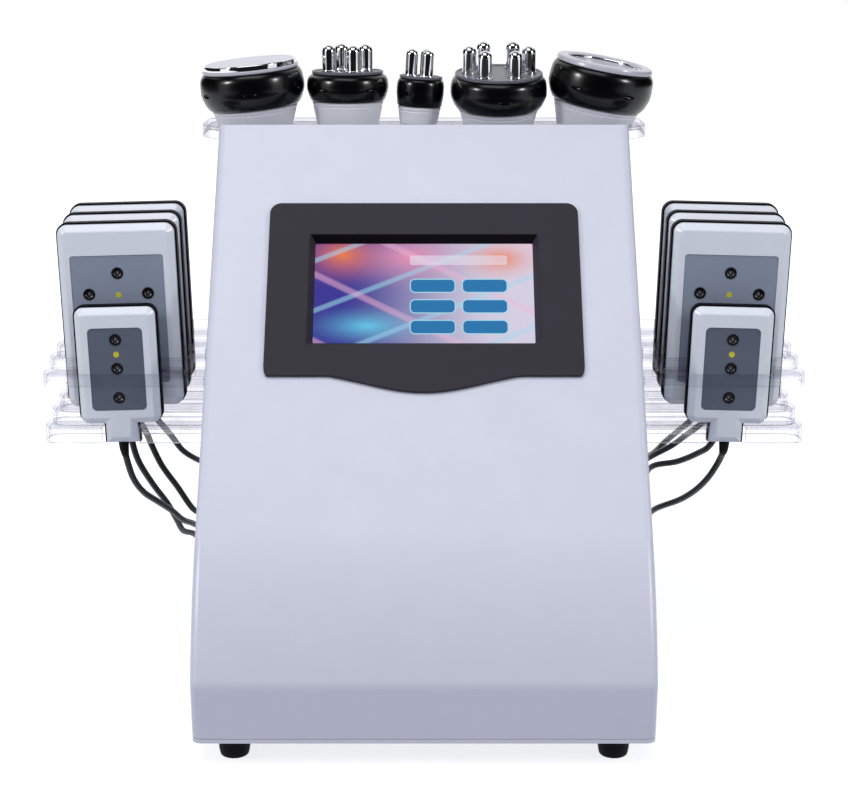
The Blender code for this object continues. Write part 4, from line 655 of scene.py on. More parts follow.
@dataclass(frozen=True)
class LitDisplay(Finish):
    """Liquid crystal display behind glass: a lit plain menu over soft bands of colour."""

    left: str = "302a92"
    right: str = "d6d0e4"
    warm: str = "ee7a3c"
    rose: str = "e88fb4"
    cyan: str = "5fc6ea"
    button: str = "1672ac"
    button_edge: str = "a9dcf0"

    def paint(self, tree: Tree, shader: Node, place: Socket) -> None:
        """Light the surface with the picture, and leave the glass on top of it dark and glossy."""
        flat = add_node(
            tree,
            "ShaderNodeMapping",
            TEXTURE,
            {0: place, "Location": face_matrix(WINDOW_CENTRE).to_translation(), "Rotation": (FACE_SLOPE, 0, 0)},
        ).outputs[0]
        picture = self.buttons(tree, flat, self.bands(tree, flat))
        tree.links.new(picture, shader.inputs["Emission Color"])
        shader.inputs["Emission Strength"].default_value = 0.95
        shader.inputs["Base Color"].default_value = linear("0a0a10")
        shader.inputs["Roughness"].default_value = self.roughness

    def glow(self, tree: Tree, flat: Socket, centre: Point,
             reach: Point) -> Socket:
        """A soft oval glow, 1 at its middle and 0 at its reach."""
        place = add_node(tree, "ShaderNodeMapping", TEXTURE, {0: flat, "Location": centre, "Scale": reach})
        return add_node(
            tree, "ShaderNodeTexGradient", {"gradient_type": "QUADRATIC_SPHERE"}, {0: place.outputs[0]}
        ).outputs[1]

    def bands(self, tree: Tree, flat: Socket) -> Socket:
        """Soft bands of colour, from violet at the left to pale lilac at the right."""
        across = add_node(tree, "ShaderNodeSeparateXYZ", {}, {0: flat})
        share = add_node(
            tree,
            "ShaderNodeMapRange",
            SMOOTH,
            {0: across.outputs[0], "From Min": -0.07, "From Max": 0.075},
        )
        colour = add_node(tree, "ShaderNodeMix", RGBA, {
            0: share.outputs[0], 6: linear(self.left), 7: linear(self.right)
        }).outputs[2]
        for tone, centre, reach in (
            (self.rose, (-0.012, 0.034, 0), (0.070, 0.035, 1)),
            (self.warm, (-0.066, 0.036, 0), (0.048, 0.034, 1)),
            (self.warm, (0.062, 0.032, 0), (0.045, 0.026, 1)),
            (self.cyan, (-0.045, -0.030, 0), (0.060, 0.022, 1)),
        ):
            colour = add_node(tree, "ShaderNodeMix", RGBA, {
                0: self.glow(tree, flat, centre, reach), 6: colour, 7: linear(tone)
            }).outputs[2]
        for tone, turn, scale, share in (("9fd8f2", 0.42, 7.5, 0.45), ("f0b6d8", -0.50, 6.0, 0.40)):
            slanted = add_node(tree, "ShaderNodeMapping", TEXTURE, {0: flat, "Rotation": (0, 0, turn)})
            wave = add_node(
                tree,
                "ShaderNodeTexWave",
                {"wave_type": "BANDS", "bands_direction": "Y"},
                {0: slanted.outputs[0], "Scale": scale, "Distortion": 1.6, "Detail": 0.0, "Detail Scale": 0.25},
            )
            thin = add_node(
                tree,
                "ShaderNodeMapRange",
                SMOOTH,
                {0: wave.outputs[1], "From Min": 0.95, "From Max": 1.0, "To Max": share},
            )
            colour = add_node(tree, "ShaderNodeMix", RGBA, {
                0: thin.outputs[0], 6: colour, 7: linear(tone)
            }).outputs[2]
        return colour

    def distance(self, tree: Tree, flat: Socket, half: Point,
                 radius: float) -> Socket:
        """Distance outside a rounded rectangle about the origin."""
        away = add_node(tree, "ShaderNodeVectorMath", {"operation": "ABSOLUTE"}, {0: flat})
        past = add_node(
            tree,
            "ShaderNodeVectorMath",
            {"operation": "SUBTRACT"},
            {0: away.outputs[0], 1: (half[0] - radius, half[1] - radius, 1.0)},
        )
        beyond = add_node(tree, "ShaderNodeVectorMath", {"operation": "MAXIMUM"}, {0: past.outputs[0], 1: (0, 0, 0)})
        length = add_node(tree, "ShaderNodeVectorMath", {"operation": "LENGTH"}, {0: beyond.outputs[0]})
        return add_node(
            tree, "ShaderNodeMath", {"operation": "SUBTRACT"}, {0: length.outputs[1], 1: radius}
        ).outputs[0]

    def inside(self, tree: Tree, distance: Socket, edge: float) -> Socket:
        """1 where a distance is under an edge, and 0 past it."""
        return add_node(
            tree,
            "ShaderNodeMapRange",
            {},
            {0: distance, "From Min": edge + 0.0002, "From Max": edge - 0.0002},
        ).outputs[0]

    def buttons(self, tree: Tree, flat: Socket,
                picture: Socket) -> Socket:
        """Six plain buttons in two columns and three rows, and a bare bar above them."""
        cell = (0.042, 0.019, 1.0)
        centre = (0.028, -0.012, 0.0)
        moved = add_node(tree, "ShaderNodeVectorMath", {"operation": "SUBTRACT"}, {0: flat, 1: centre}).outputs[0]
        shifted = add_node(
            tree, "ShaderNodeVectorMath", {"operation": "ADD"}, {0: moved, 1: (cell[0] / 2, 0, 0)}
        ).outputs[0]
        high = tuple(size / 2 for size in cell)
        low = tuple(-size / 2 for size in cell)
        tile = add_node(tree, "ShaderNodeVectorMath", {"operation": "WRAP"}, {0: shifted, 1: high, 2: low}).outputs[0]
        field_share = self.inside(tree, self.distance(tree, moved, (cell[0], cell[1] * 1.5, 1), 0.001), 0.0)
        away = self.distance(tree, tile, (0.0185, 0.0066, 1), 0.0045)
        for edge, tone in ((0.0, self.button_edge), (-0.0009, self.button)):
            share = add_node(
                tree,
                "ShaderNodeMath",
                {"operation": "MULTIPLY"},
                {0: self.inside(tree, away, edge), 1: field_share},
            )
            picture = add_node(tree, "ShaderNodeMix", RGBA, {
                0: share.outputs[0], 6: picture, 7: linear(tone)
            }).outputs[2]
        bar_place = add_node(
            tree, "ShaderNodeVectorMath", {"operation": "SUBTRACT"}, {0: flat, 1: (0.028, 0.031, 0.0)}
        ).outputs[0]
        bar = self.inside(tree, self.distance(tree, bar_place, (0.0395, 0.0045, 1), 0.002), 0.0)
        faint = add_node(tree, "ShaderNodeMath", {"operation": "MULTIPLY"}, {0: bar, 1: 0.55})
        return add_node(tree, "ShaderNodeMix", RGBA, {
            0: faint.outputs[0], 6: picture, 7: linear("e6e3f2")
        }).outputs[2]


class Finishes:
    """The finishes of the machine."""

    # Injection-moulded ABS with a fine spark-eroded texture: even, pale and softly glossy.
    # The texture's real 0.3 mm grain is drawn at 0.9 mm so that it shows.
    cover = Finish("moulded_white_abs", "dadce8", 0.38, "d4d6e3", grain=0.9, depth=0.012)
    # The same ABS polished in the mould, for the pads' faces: smoother and whiter.
    pad_shell = Finish("polished_white_abs", "ebeff5", 0.30, "e5e9f1", grain=2.2, depth=0.006)
    # Gloss black ABS: soft-edged bright highlights, with a faint orange peel from the mould.
    piano = Finish("gloss_black_abs", "040407", 0.22, "07070b", specular=0.32, grain=5, depth=0.004, wear=0.02)
    # Black rear shells of the pads: the same ABS left satin. It is also put on the upper wall of the screen's window
    # as painted shade.
    pad_rear = Finish("satin_black_abs", "0b0b10", 0.50, "101016", specular=0.08, grain=1.5, depth=0.008)
    # Dark grey painted frame of the screen: duller than the cover, with hardly a highlight.
    bezel = Finish("painted_charcoal_abs", "343138", 0.48, "38353d", specular=0.12, grain=0.9, depth=0.006)
    # Thermoplastic rubber, dull and slightly dusty.
    rubber = Finish("moulded_rubber", "08080b", 0.62, "0d0d10", specular=0.12, grain=1.2, depth=0.02)
    # Soft PVC cord sheath: near black, satin, drawn smooth through its die.
    sheath = Finish("extruded_pvc_sheath", "0f0f12", 0.36, "151519", specular=0.25, grain=2.5, depth=0.01)
    # Cast acrylic sheet, flame-polished: clear, bright at its edges.
    acrylic = ClearAcrylic("polished_clear_acrylic", "eeeff4", 0.02, transmission=1.0, ior=1.49, grain=14,
                           depth=0.002, wear=0.01)
    # Its flame-polished rims, which bend the light and so draw a thin grey or white line; the grey of the straight
    # share, darker still at a slant, is painted shade that deepens the line.
    acrylic_rim = ClearAcrylic("flame_polished_rim", "cfcfd2", 0.04, transmission=1.0, ior=1.49, grain=6,
                               depth=0.002, wear=0.01, straight=0.32, tint="9fa0a5",
                               slant_tint="737479")
    # Aluminium turned and left bright: satin, with rings round the axis. It is drawn as an opaque pale
    # surface that mirrors little, not as a metal.
    aluminium = TurnedMetal("turned_bright_aluminium", "fafbfe", 0.40, "f4f5fa", metallic=0.0, depth=0.010)
    # Decorative chrome on polished brass: mirror-like.
    chrome = Finish("polished_chrome_plate", "e6e7ea", 0.05, "dfe0e4", metallic=1.0, wear=0.02)
    # Nickel-plated connector shells: warmer and duller than chrome.
    nickel = TurnedMetal("turned_nickel_plate", "b9b6ae", 0.22, "aeaba4", metallic=1.0, depth=0.006)
    # Frosted polycarbonate face plates: grey, with light held under the surface.
    frosted = Finish("frosted_grey_polycarbonate", "74767f", 0.34, "6b6d76", transmission=0.2, specular=0.3,
                     grain=1.5, depth=0.01)
    # Moulded rim and lining of the vacuum cup, and rim under the disc: paler than the face plates.
    cup = Finish("moulded_grey_polycarbonate", "cdcfd6", 0.26, "c3c5cd", transmission=0.08,
                 grain=1.5, depth=0.006)
    # Anodised and bead-blasted disc of the ultrasonic head: matt pale grey.
    disc = Finish("bead_blasted_disc", "dcdee5", 0.40, "d4d6de", metallic=0.1, grain=0.9, depth=0.010)
    # Satin grey film on the pads' plates, paler on the large pads than on the small ones.
    large_plate = Finish("satin_pale_grey_film", "939cae", 0.40, "8b94a5", specular=0.3, grain=1.2, depth=0.006)
    small_plate = Finish("satin_grey_film", "5e6574", 0.40, "656c7b", specular=0.3, grain=1.2, depth=0.006)
    # Black bowl round each lens: satin, so that its lower half catches the light from above.
    lens_cup = Finish("satin_black_cup", "131216", 0.30, "1a181d", specular=0.5, grain=0.8, depth=0.006)
    # Small glass lens at the bottom of its bowl.
    lens = Finish("coated_lens_glass", "6a676e", 0.10, "7a767e", specular=0.6, wear=0.02)
    # Yellow pad-printed dot.
    dot = Finish("printed_yellow_ink", "d8cf3a", 0.4, "d0c633", grain=0.8, depth=0.004)
    # Galvanised sheet of the power supply.
    zinc = SpangledZinc("spangled_zinc_sheet", "b4b8bb", 0.4, "9a9ea2", metallic=1.0, grain=6)
    # Control board under solder mask.
    board = SolderMask("green_solder_mask", "1d5a3a", 0.35, "3c8a5c", grain=8, depth=0.03)
    # Glass-filled nylon of the fan: dull black.
    fan = Finish("glass_filled_nylon", "1a1a1c", 0.5, "222225", grain=1.5, depth=0.02)
    # Display under its cover glass.
    display = LitDisplay("lit_display_glass", "0a0a10", 0.14, specular=0.08)


# Camera, floor and light


@dataclass
class Studio:
    """A plain pale floor, soft lamps and the camera at the photograph's angle."""

    eye: Point = (0.0, -1.4252, 0.600)
    pitch: float = math.radians(75.5)
    focal_length: float = 76.415
    floor_size: float = 12.0
    world_light: float = 0.545
    floor_glow: float = 0.80
    cards: tuple[tuple[str, Point, Point], ...] = (
        ("front_card", (-3.6, -3.02, 0.02), (3.6, -3.0, 3.2)),
        ("ceiling_card", (-3.6, -3.0, 3.4), (3.6, 1.2, 3.42)),
        ("left_card", (-3.62, -0.9, 0.02), (-3.6, 6.0, 3.2)),
        ("right_card", (3.6, -0.9, 0.02), (3.62, 6.0, 3.2)),
        ("ground_card", (-1.6, -3.0, 0.002), (1.6, -0.42, 0.010)),
    )

    def build(self) -> None:
        """Make the camera, the floor, the world and the lamps."""
        self.make_camera()
        self.make_floor()
        self.make_cards()
        self.make_world()
        self.make_lamps()

    def make_camera(self) -> None:
        """The camera, with the frame's long side on its 36 mm sensor."""
        bpy.ops.object.camera_add(location=self.eye, rotation=(self.pitch, 0, 0))
        camera = bpy.context.object
        camera.name = "viewpoint"
        camera.data.sensor_width = 36.0
        camera.data.lens = self.focal_length
        camera.data.clip_start = 0.05
        bpy.context.scene.camera = camera
        bpy.context.scene.view_settings.view_transform = "Standard"

    def make_floor(self) -> None:
        """The floor, white to the camera but for the machine's shadow."""
        bpy.ops.object.select_all(action="DESELECT")
        bpy.ops.mesh.primitive_plane_add(size=self.floor_size)
        floor = named("studio_floor")
        with editing(floor, "FACE", whole=True):
            bpy.ops.mesh.subdivide(number_cuts=3)
        material = bpy.data.materials.new("matt_paper_floor")
        material.use_nodes = True
        tree = material.node_tree
        shader = tree.nodes["Principled BSDF"]
        shader.inputs["Base Color"].default_value = linear("a9abb4")
        shader.inputs["Roughness"].default_value = 0.9
        shader.inputs["Specular IOR Level"].default_value = 0.1
        away = add_node(
            tree,
            "ShaderNodeVectorMath",
            {"operation": "LENGTH"},
            {0: add_node(tree, "ShaderNodeTexCoord").outputs["Object"]},
        )
        glow = add_node(
            tree,
            "ShaderNodeMapRange",
            SMOOTH,
            {0: away.outputs[1], "From Min": 0.30, "From Max": 0.85, "To Min": self.floor_glow, "To Max": 1.0},
        )
        strength = add_node(
            tree,
            "ShaderNodeMath",
            {"operation": "MULTIPLY"},
            {0: self.seen_directly(tree), 1: glow.outputs[0]},
        )
        shader.inputs["Emission Color"].default_value = (1, 1, 1, 1)
        tree.links.new(strength.outputs[0], shader.inputs["Emission Strength"])
        floor.data.materials.append(material)

    def make_cards(self) -> None:
        """Dark cards round the set, which give polished metal and gloss black their dark middle."""
        material = bpy.data.materials.new("black_felt_card")
        material.use_nodes = True
        tree = material.node_tree
        place = add_node(tree, "ShaderNodeTexCoord").outputs["Object"]
        felt = add_node(tree, "ShaderNodeTexNoise", {}, {0: place, "Scale": 400.0})
        tone = add_node(tree, "ShaderNodeMix", RGBA, {0: felt.outputs[0], 6: linear("0c0c0e"), 7: linear("161618")})
        shader = tree.nodes["Principled BSDF"]
        tree.links.new(tone.outputs[2], shader.inputs["Base Color"])
        shader.inputs["Roughness"].default_value = 1.0
        for name, low, high in self.cards:
            card = block(name, low, high)
            round_edges(card, 0.004)
            card.data.materials.append(material)
            card.visible_camera = False
            card.visible_diffuse = False
            card.visible_shadow = False

    def seen_directly(self, tree: Tree) -> Socket:
        """1 for camera, glossy and transmission rays, and 0 for the light that falls on things."""
        path = add_node(tree, "ShaderNodeLightPath")
        seen = path.outputs["Is Camera Ray"]
        for ray in ("Is Glossy Ray", "Is Transmission Ray"):
            either = add_node(tree, "ShaderNodeMath", {"operation": "MAXIMUM"}, {0: seen, 1: path.outputs[ray]})
            seen = either.outputs[0]
        return seen

    def make_world(self) -> None:
        """White round about for what sees it, and a plain level of light for the rest."""
        world = bpy.data.worlds.new("white_studio")
        bpy.context.scene.world = world
        world.use_nodes = True
        tree = world.node_tree
        seen = self.seen_directly(tree)
        strength = add_node(tree, "ShaderNodeMapRange", {}, {0: seen, "To Min": self.world_light, "To Max": 1.0})
        colour = add_node(tree, "ShaderNodeMix", RGBA, {0: seen, 6: linear("f0f3ff"), 7: linear("ffffff")})
        background = tree.nodes["Background"]
        tree.links.new(colour.outputs[2], background.inputs["Color"])
        tree.links.new(strength.outputs[0], background.inputs["Strength"])

    def make_lamps(self) -> None:
        """A wide soft box overhead, a weak one at each side, and a glint beside each of those.

        The glints give no diffuse light. They only draw highlights, on gloss black and, seen from the
        side, on the cover too.
        """
        for name, place, size, power, lights_matt in (
            ("top_softbox", (-0.25, -0.75, 2.5), (1.8, 1.1), 19.0, True),
            ("key_softbox", (-2.0, -1.15, 1.35), (0.26, 0.36), 11.0, True),
            ("fill_softbox", (2.0, -1.15, 1.35), (0.26, 0.36), 9.5, True),
            ("key_glint", (-2.0, -1.15, 1.36), (0.34, 0.40), 20.0, False),
            ("fill_glint", (2.0, -1.15, 1.36), (0.34, 0.40), 17.0, False),
        ):
            bpy.ops.object.light_add(type="AREA", location=place)
            lamp = bpy.context.object
            lamp.name = name
            lamp.data.shape = "RECTANGLE"
            lamp.data.size, lamp.data.size_y = size
            lamp.data.energy = power
            lamp.visible_diffuse = lights_matt
            aim = Vector((0, 0, 0.25)) - Vector(place)
            lamp.rotation_euler = aim.to_track_quat("-Z", "Y").to_euler()


# Pads, whose places the leads need


@dataclass(frozen=True)
class PadShape:
    """Sizes of one kind of laser pad, in its own upright frame, with Z towards the viewer."""

    width: float
    height: float
    thickness: float
    corner: float
    neck_width: float
    neck_length: float
    front_gap: float
    plate_low: tuple[float, float]
    plate_high: tuple[float, float]
    plate_corner: float
    lenses: tuple[tuple[float, float], ...]
    dot: tuple[float, float]


LARGE_PAD = PadShape(
    width=0.098, height=0.153, thickness=0.018, corner=0.0095, neck_width=0.036, neck_length=0.0135,
    front_gap=0.004, plate_low=(-0.0380, 0.020), plate_high=(0.0380, 0.1268), plate_corner=0.0025,
    lenses=((0.0, 0.1120), (-0.0240, 0.0950), (0.0240, 0.0950), (0.0, 0.0765)),
    dot=(0.0, 0.0940),
)
SMALL_PAD = PadShape(
    width=0.068, height=0.0975, thickness=0.015, corner=0.0085, neck_width=0.029, neck_length=0.0165,
    front_gap=0.0045, plate_low=(-0.0222, 0.0115), plate_high=(0.0222, 0.0800), plate_corner=0.004,
    lenses=((0.0, 0.0702), (0.0, 0.0465), (0.0, 0.0222)),
    dot=(0.0, 0.0580),
)


@dataclass(frozen=True)
class PadPlace:
    """A pad's name, its bay and its sizes."""

    name: str
    bay: int
    shape: PadShape

    def matrix(self, side: Side) -> Matrix:
        """Place of the pad's lower edge, with local Y up the pad and local Z towards the viewer."""
        shape = self.shape
        back = RACK_FRONT_Y + self.bay * BAY_DEPTH + shape.front_gap + shape.thickness
        rise = FIRST_STEP + (self.bay - 1) * STEP if self.bay else 0.0
        height = LOWER_TIER_TOP + rise + CLEARANCE + shape.width / 2 * math.sin(PAD_LEAN)
        facing = Matrix.Rotation(math.pi / 2, 4, "X")
        leaning = Matrix.Rotation(side.value * PAD_LEAN, 4, "Y")
        return Matrix.Translation((side.value * PAD_CENTRE_X, back, height)) @ leaning @ facing


PAD_PLACES = (
    PadPlace("small", 0, SMALL_PAD),
    PadPlace("front", 1, LARGE_PAD),
    PadPlace("middle", 2, LARGE_PAD),
    PadPlace("back", 3, LARGE_PAD),
)


# Cords


def between(knots: Sequence[Vector], share: float) -> Vector:
    """Point between the second and third of four knots, on a centripetal curve through them."""
    times = [0.0]
    for before, after in zip(knots, knots[1:]):
        times.append(times[-1] + math.sqrt((after - before).length))
    time = times[1] + (times[2] - times[1]) * share
    points = list(knots)
    for steps in (((0, 1), (1, 2), (2, 3)), ((0, 2), (1, 3)), ((1, 2),)):
        points = [
            points[index].lerp(points[index + 1], (time - times[low]) / (times[high] - times[low]))
            for index, (low, high) in enumerate(steps)
        ]
    return points[0]


def smooth_route(route: Sequence[Vector], step: float, diameter: float) -> list[Vector]:
    """Points about a step apart on a smooth curve that stays off the ground, straight at both ends."""
    points = [route[0]]
    for four in zip(route, route[1:], route[2:], route[3:]):
        count = max(2, round((four[2] - four[1]).length / step))
        points += [between(four, index / count) for index in range(count)]
    points += [route[-2], route[-1]]
    for point in points:
        point.z = max(point.z, diameter / 2 + CLEARANCE / 2)
    return points


def tube(name: str, points: Sequence[Vector], radii: Sequence[float], sides: int = 3) -> Piece:
    """A round tube along points, with its radius at each of them.

    Args:
        name: Name of the piece.
        points: Its ring centres.
        radii: Its radius at each centre.
        sides: A quarter of its sides, less one.

    Returns:
        The tube as a mesh with closed ends.
    """
    curve = bpy.data.curves.new(name, "CURVE")
    curve.dimensions = "3D"
    curve.bevel_depth = 1.0
    curve.bevel_resolution = sides
    curve.use_fill_caps = True
    spline = curve.splines.new("POLY")
    spline.points.add(len(points) - 1)
    for target, point, radius in zip(spline.points, points, radii):
        target.co = (*point, 1.0)
        target.radius = radius
    piece = bpy.data.objects.new(name, curve)
    bpy.context.scene.collection.objects.link(piece)
    only(piece)
    bpy.ops.object.convert(target="MESH")
    shade(piece, 50)
    return piece


LEAD_ROUTES: dict[str, tuple[int, tuple[Point, ...]]] = {
    "left_small": (1, (
        (-0.2445, 0.0060, 0.1739), (-0.2426, 0.0160, 0.1600), (-0.2376, 0.0320, 0.1441),
        (-0.2294, 0.0550, 0.1283), (-0.2218, 0.0800, 0.1124), (-0.2155, 0.1050, 0.0954),
        (-0.2103, 0.1350, 0.0818), (-0.2070, 0.1700, 0.0650), (-0.2030, 0.2050, 0.0450),
        (-0.1970, 0.2320, 0.0250), (-0.1860, 0.2520, 0.0090), (-0.1680, 0.2590, 0.0030),
        (-0.1350, 0.2500, 0.0030), (-0.1000, 0.2340, 0.0030), (-0.0600, 0.2220, 0.0030),
    )),
    "left_front": (0, (
        (-0.2446, 0.0320, 0.1845), (-0.2422, 0.0411, 0.1685), (-0.2342, 0.0632, 0.1412),
        (-0.2262, 0.0890, 0.1157), (-0.2213, 0.1090, 0.0940), (-0.2190, 0.1270, 0.0782),
        (-0.2139, 0.1590, 0.0641), (-0.2102, 0.1940, 0.0449), (-0.2030, 0.2150, 0.0280),
        (-0.1920, 0.2360, 0.0110), (-0.1750, 0.2430, 0.0030), (-0.1400, 0.2350, 0.0030),
        (-0.1000, 0.2220, 0.0030), (-0.0600, 0.2140, 0.0030),
    )),
    "left_middle": (2, (
        (-0.2385, 0.0620, 0.1890), (-0.2348, 0.0700, 0.1737), (-0.2292, 0.0832, 0.1526),
        (-0.2195, 0.1043, 0.1269), (-0.2093, 0.1310, 0.0969), (-0.2048, 0.1660, 0.0820),
        (-0.2027, 0.2010, 0.0660), (-0.1980, 0.2280, 0.0470), (-0.1900, 0.2540, 0.0240),
        (-0.1760, 0.2700, 0.0070), (-0.1550, 0.2730, 0.0030), (-0.1250, 0.2620, 0.0030),
        (-0.0950, 0.2460, 0.0030), (-0.0600, 0.2290, 0.0030),
    )),
    "left_back": (3, (
        (-0.2320, 0.0920, 0.1905), (-0.2229, 0.1040, 0.1736), (-0.2160, 0.1200, 0.1560),
        (-0.2062, 0.1450, 0.1397), (-0.2000, 0.1800, 0.1260), (-0.1970, 0.2150, 0.1040),
        (-0.1940, 0.2430, 0.0740), (-0.1900, 0.2640, 0.0440), (-0.1820, 0.2820, 0.0180),
        (-0.1660, 0.2930, 0.0040), (-0.1400, 0.2880, 0.0030), (-0.1100, 0.2700, 0.0030),
        (-0.0850, 0.2510, 0.0030), (-0.0600, 0.2370, 0.0030),
    )),
    "right_small": (0, (
        (0.2458, 0.0080, 0.1810), (0.2409, 0.0250, 0.1615), (0.2345, 0.0480, 0.1426),
        (0.2253, 0.0780, 0.1234), (0.2094, 0.1250, 0.0991), (0.2060, 0.1600, 0.0800),
        (0.2040, 0.1900, 0.0590), (0.2000, 0.2160, 0.0360), (0.1910, 0.2360, 0.0140),
        (0.1740, 0.2430, 0.0030), (0.1400, 0.2350, 0.0030), (0.1000, 0.2220, 0.0030),
        (0.0600, 0.2140, 0.0030),
    )),
    "right_front": (1, (
        (0.2445, 0.0310, 0.1930), (0.2410, 0.0400, 0.1818), (0.2353, 0.0600, 0.1702),
        (0.2229, 0.0950, 0.1524), (0.2072, 0.1350, 0.1364), (0.2040, 0.1700, 0.1160),
        (0.2020, 0.2030, 0.0880), (0.1990, 0.2310, 0.0540), (0.1920, 0.2500, 0.0240),
        (0.1780, 0.2600, 0.0060), (0.1600, 0.2590, 0.0030), (0.1300, 0.2480, 0.0030),
        (0.1000, 0.2340, 0.0030), (0.0600, 0.2220, 0.0030),
    )),
    "right_middle": (2, (
        (0.2359, 0.0700, 0.1911), (0.2290, 0.0850, 0.1800), (0.2200, 0.1070, 0.1640),
        (0.2076, 0.1400, 0.1450), (0.2020, 0.1750, 0.1270), (0.1990, 0.2100, 0.1010),
        (0.1960, 0.2400, 0.0660), (0.1910, 0.2600, 0.0330), (0.1800, 0.2750, 0.0100),
        (0.1600, 0.2760, 0.0030), (0.1280, 0.2600, 0.0030), (0.0950, 0.2400, 0.0030),
        (0.0600, 0.2290, 0.0030),
    )),
    "right_back": (3, (
        (0.2325, 0.0930, 0.1900), (0.2240, 0.1100, 0.1755), (0.2170, 0.1300, 0.1610),
        (0.2110, 0.1650, 0.1400), (0.2050, 0.2000, 0.1230), (0.1990, 0.2330, 0.0960),
        (0.1950, 0.2580, 0.0640), (0.1890, 0.2770, 0.0320), (0.1770, 0.2910, 0.0090),
        (0.1580, 0.2920, 0.0030), (0.1330, 0.2800, 0.0030), (0.1080, 0.2620, 0.0030),
        (0.0850, 0.2480, 0.0030), (0.0600, 0.2370, 0.0030),
    )),
}
# Points on the trunk's way from its coil up to the plug
TRUNK_ROUTE: tuple[Point, ...] = (
    (0.0000, 0.2490, 0.0099), (-0.0250, 0.2550, 0.0070), (-0.0460, 0.2680, 0.0034),
    (-0.0640, 0.2880, 0.0060), (-0.0760, 0.3060, 0.0220), (-0.0800, 0.3120, 0.0480),
    (-0.0780, 0.3030, 0.0780), (-0.0764, 0.2810, 0.1000),
)


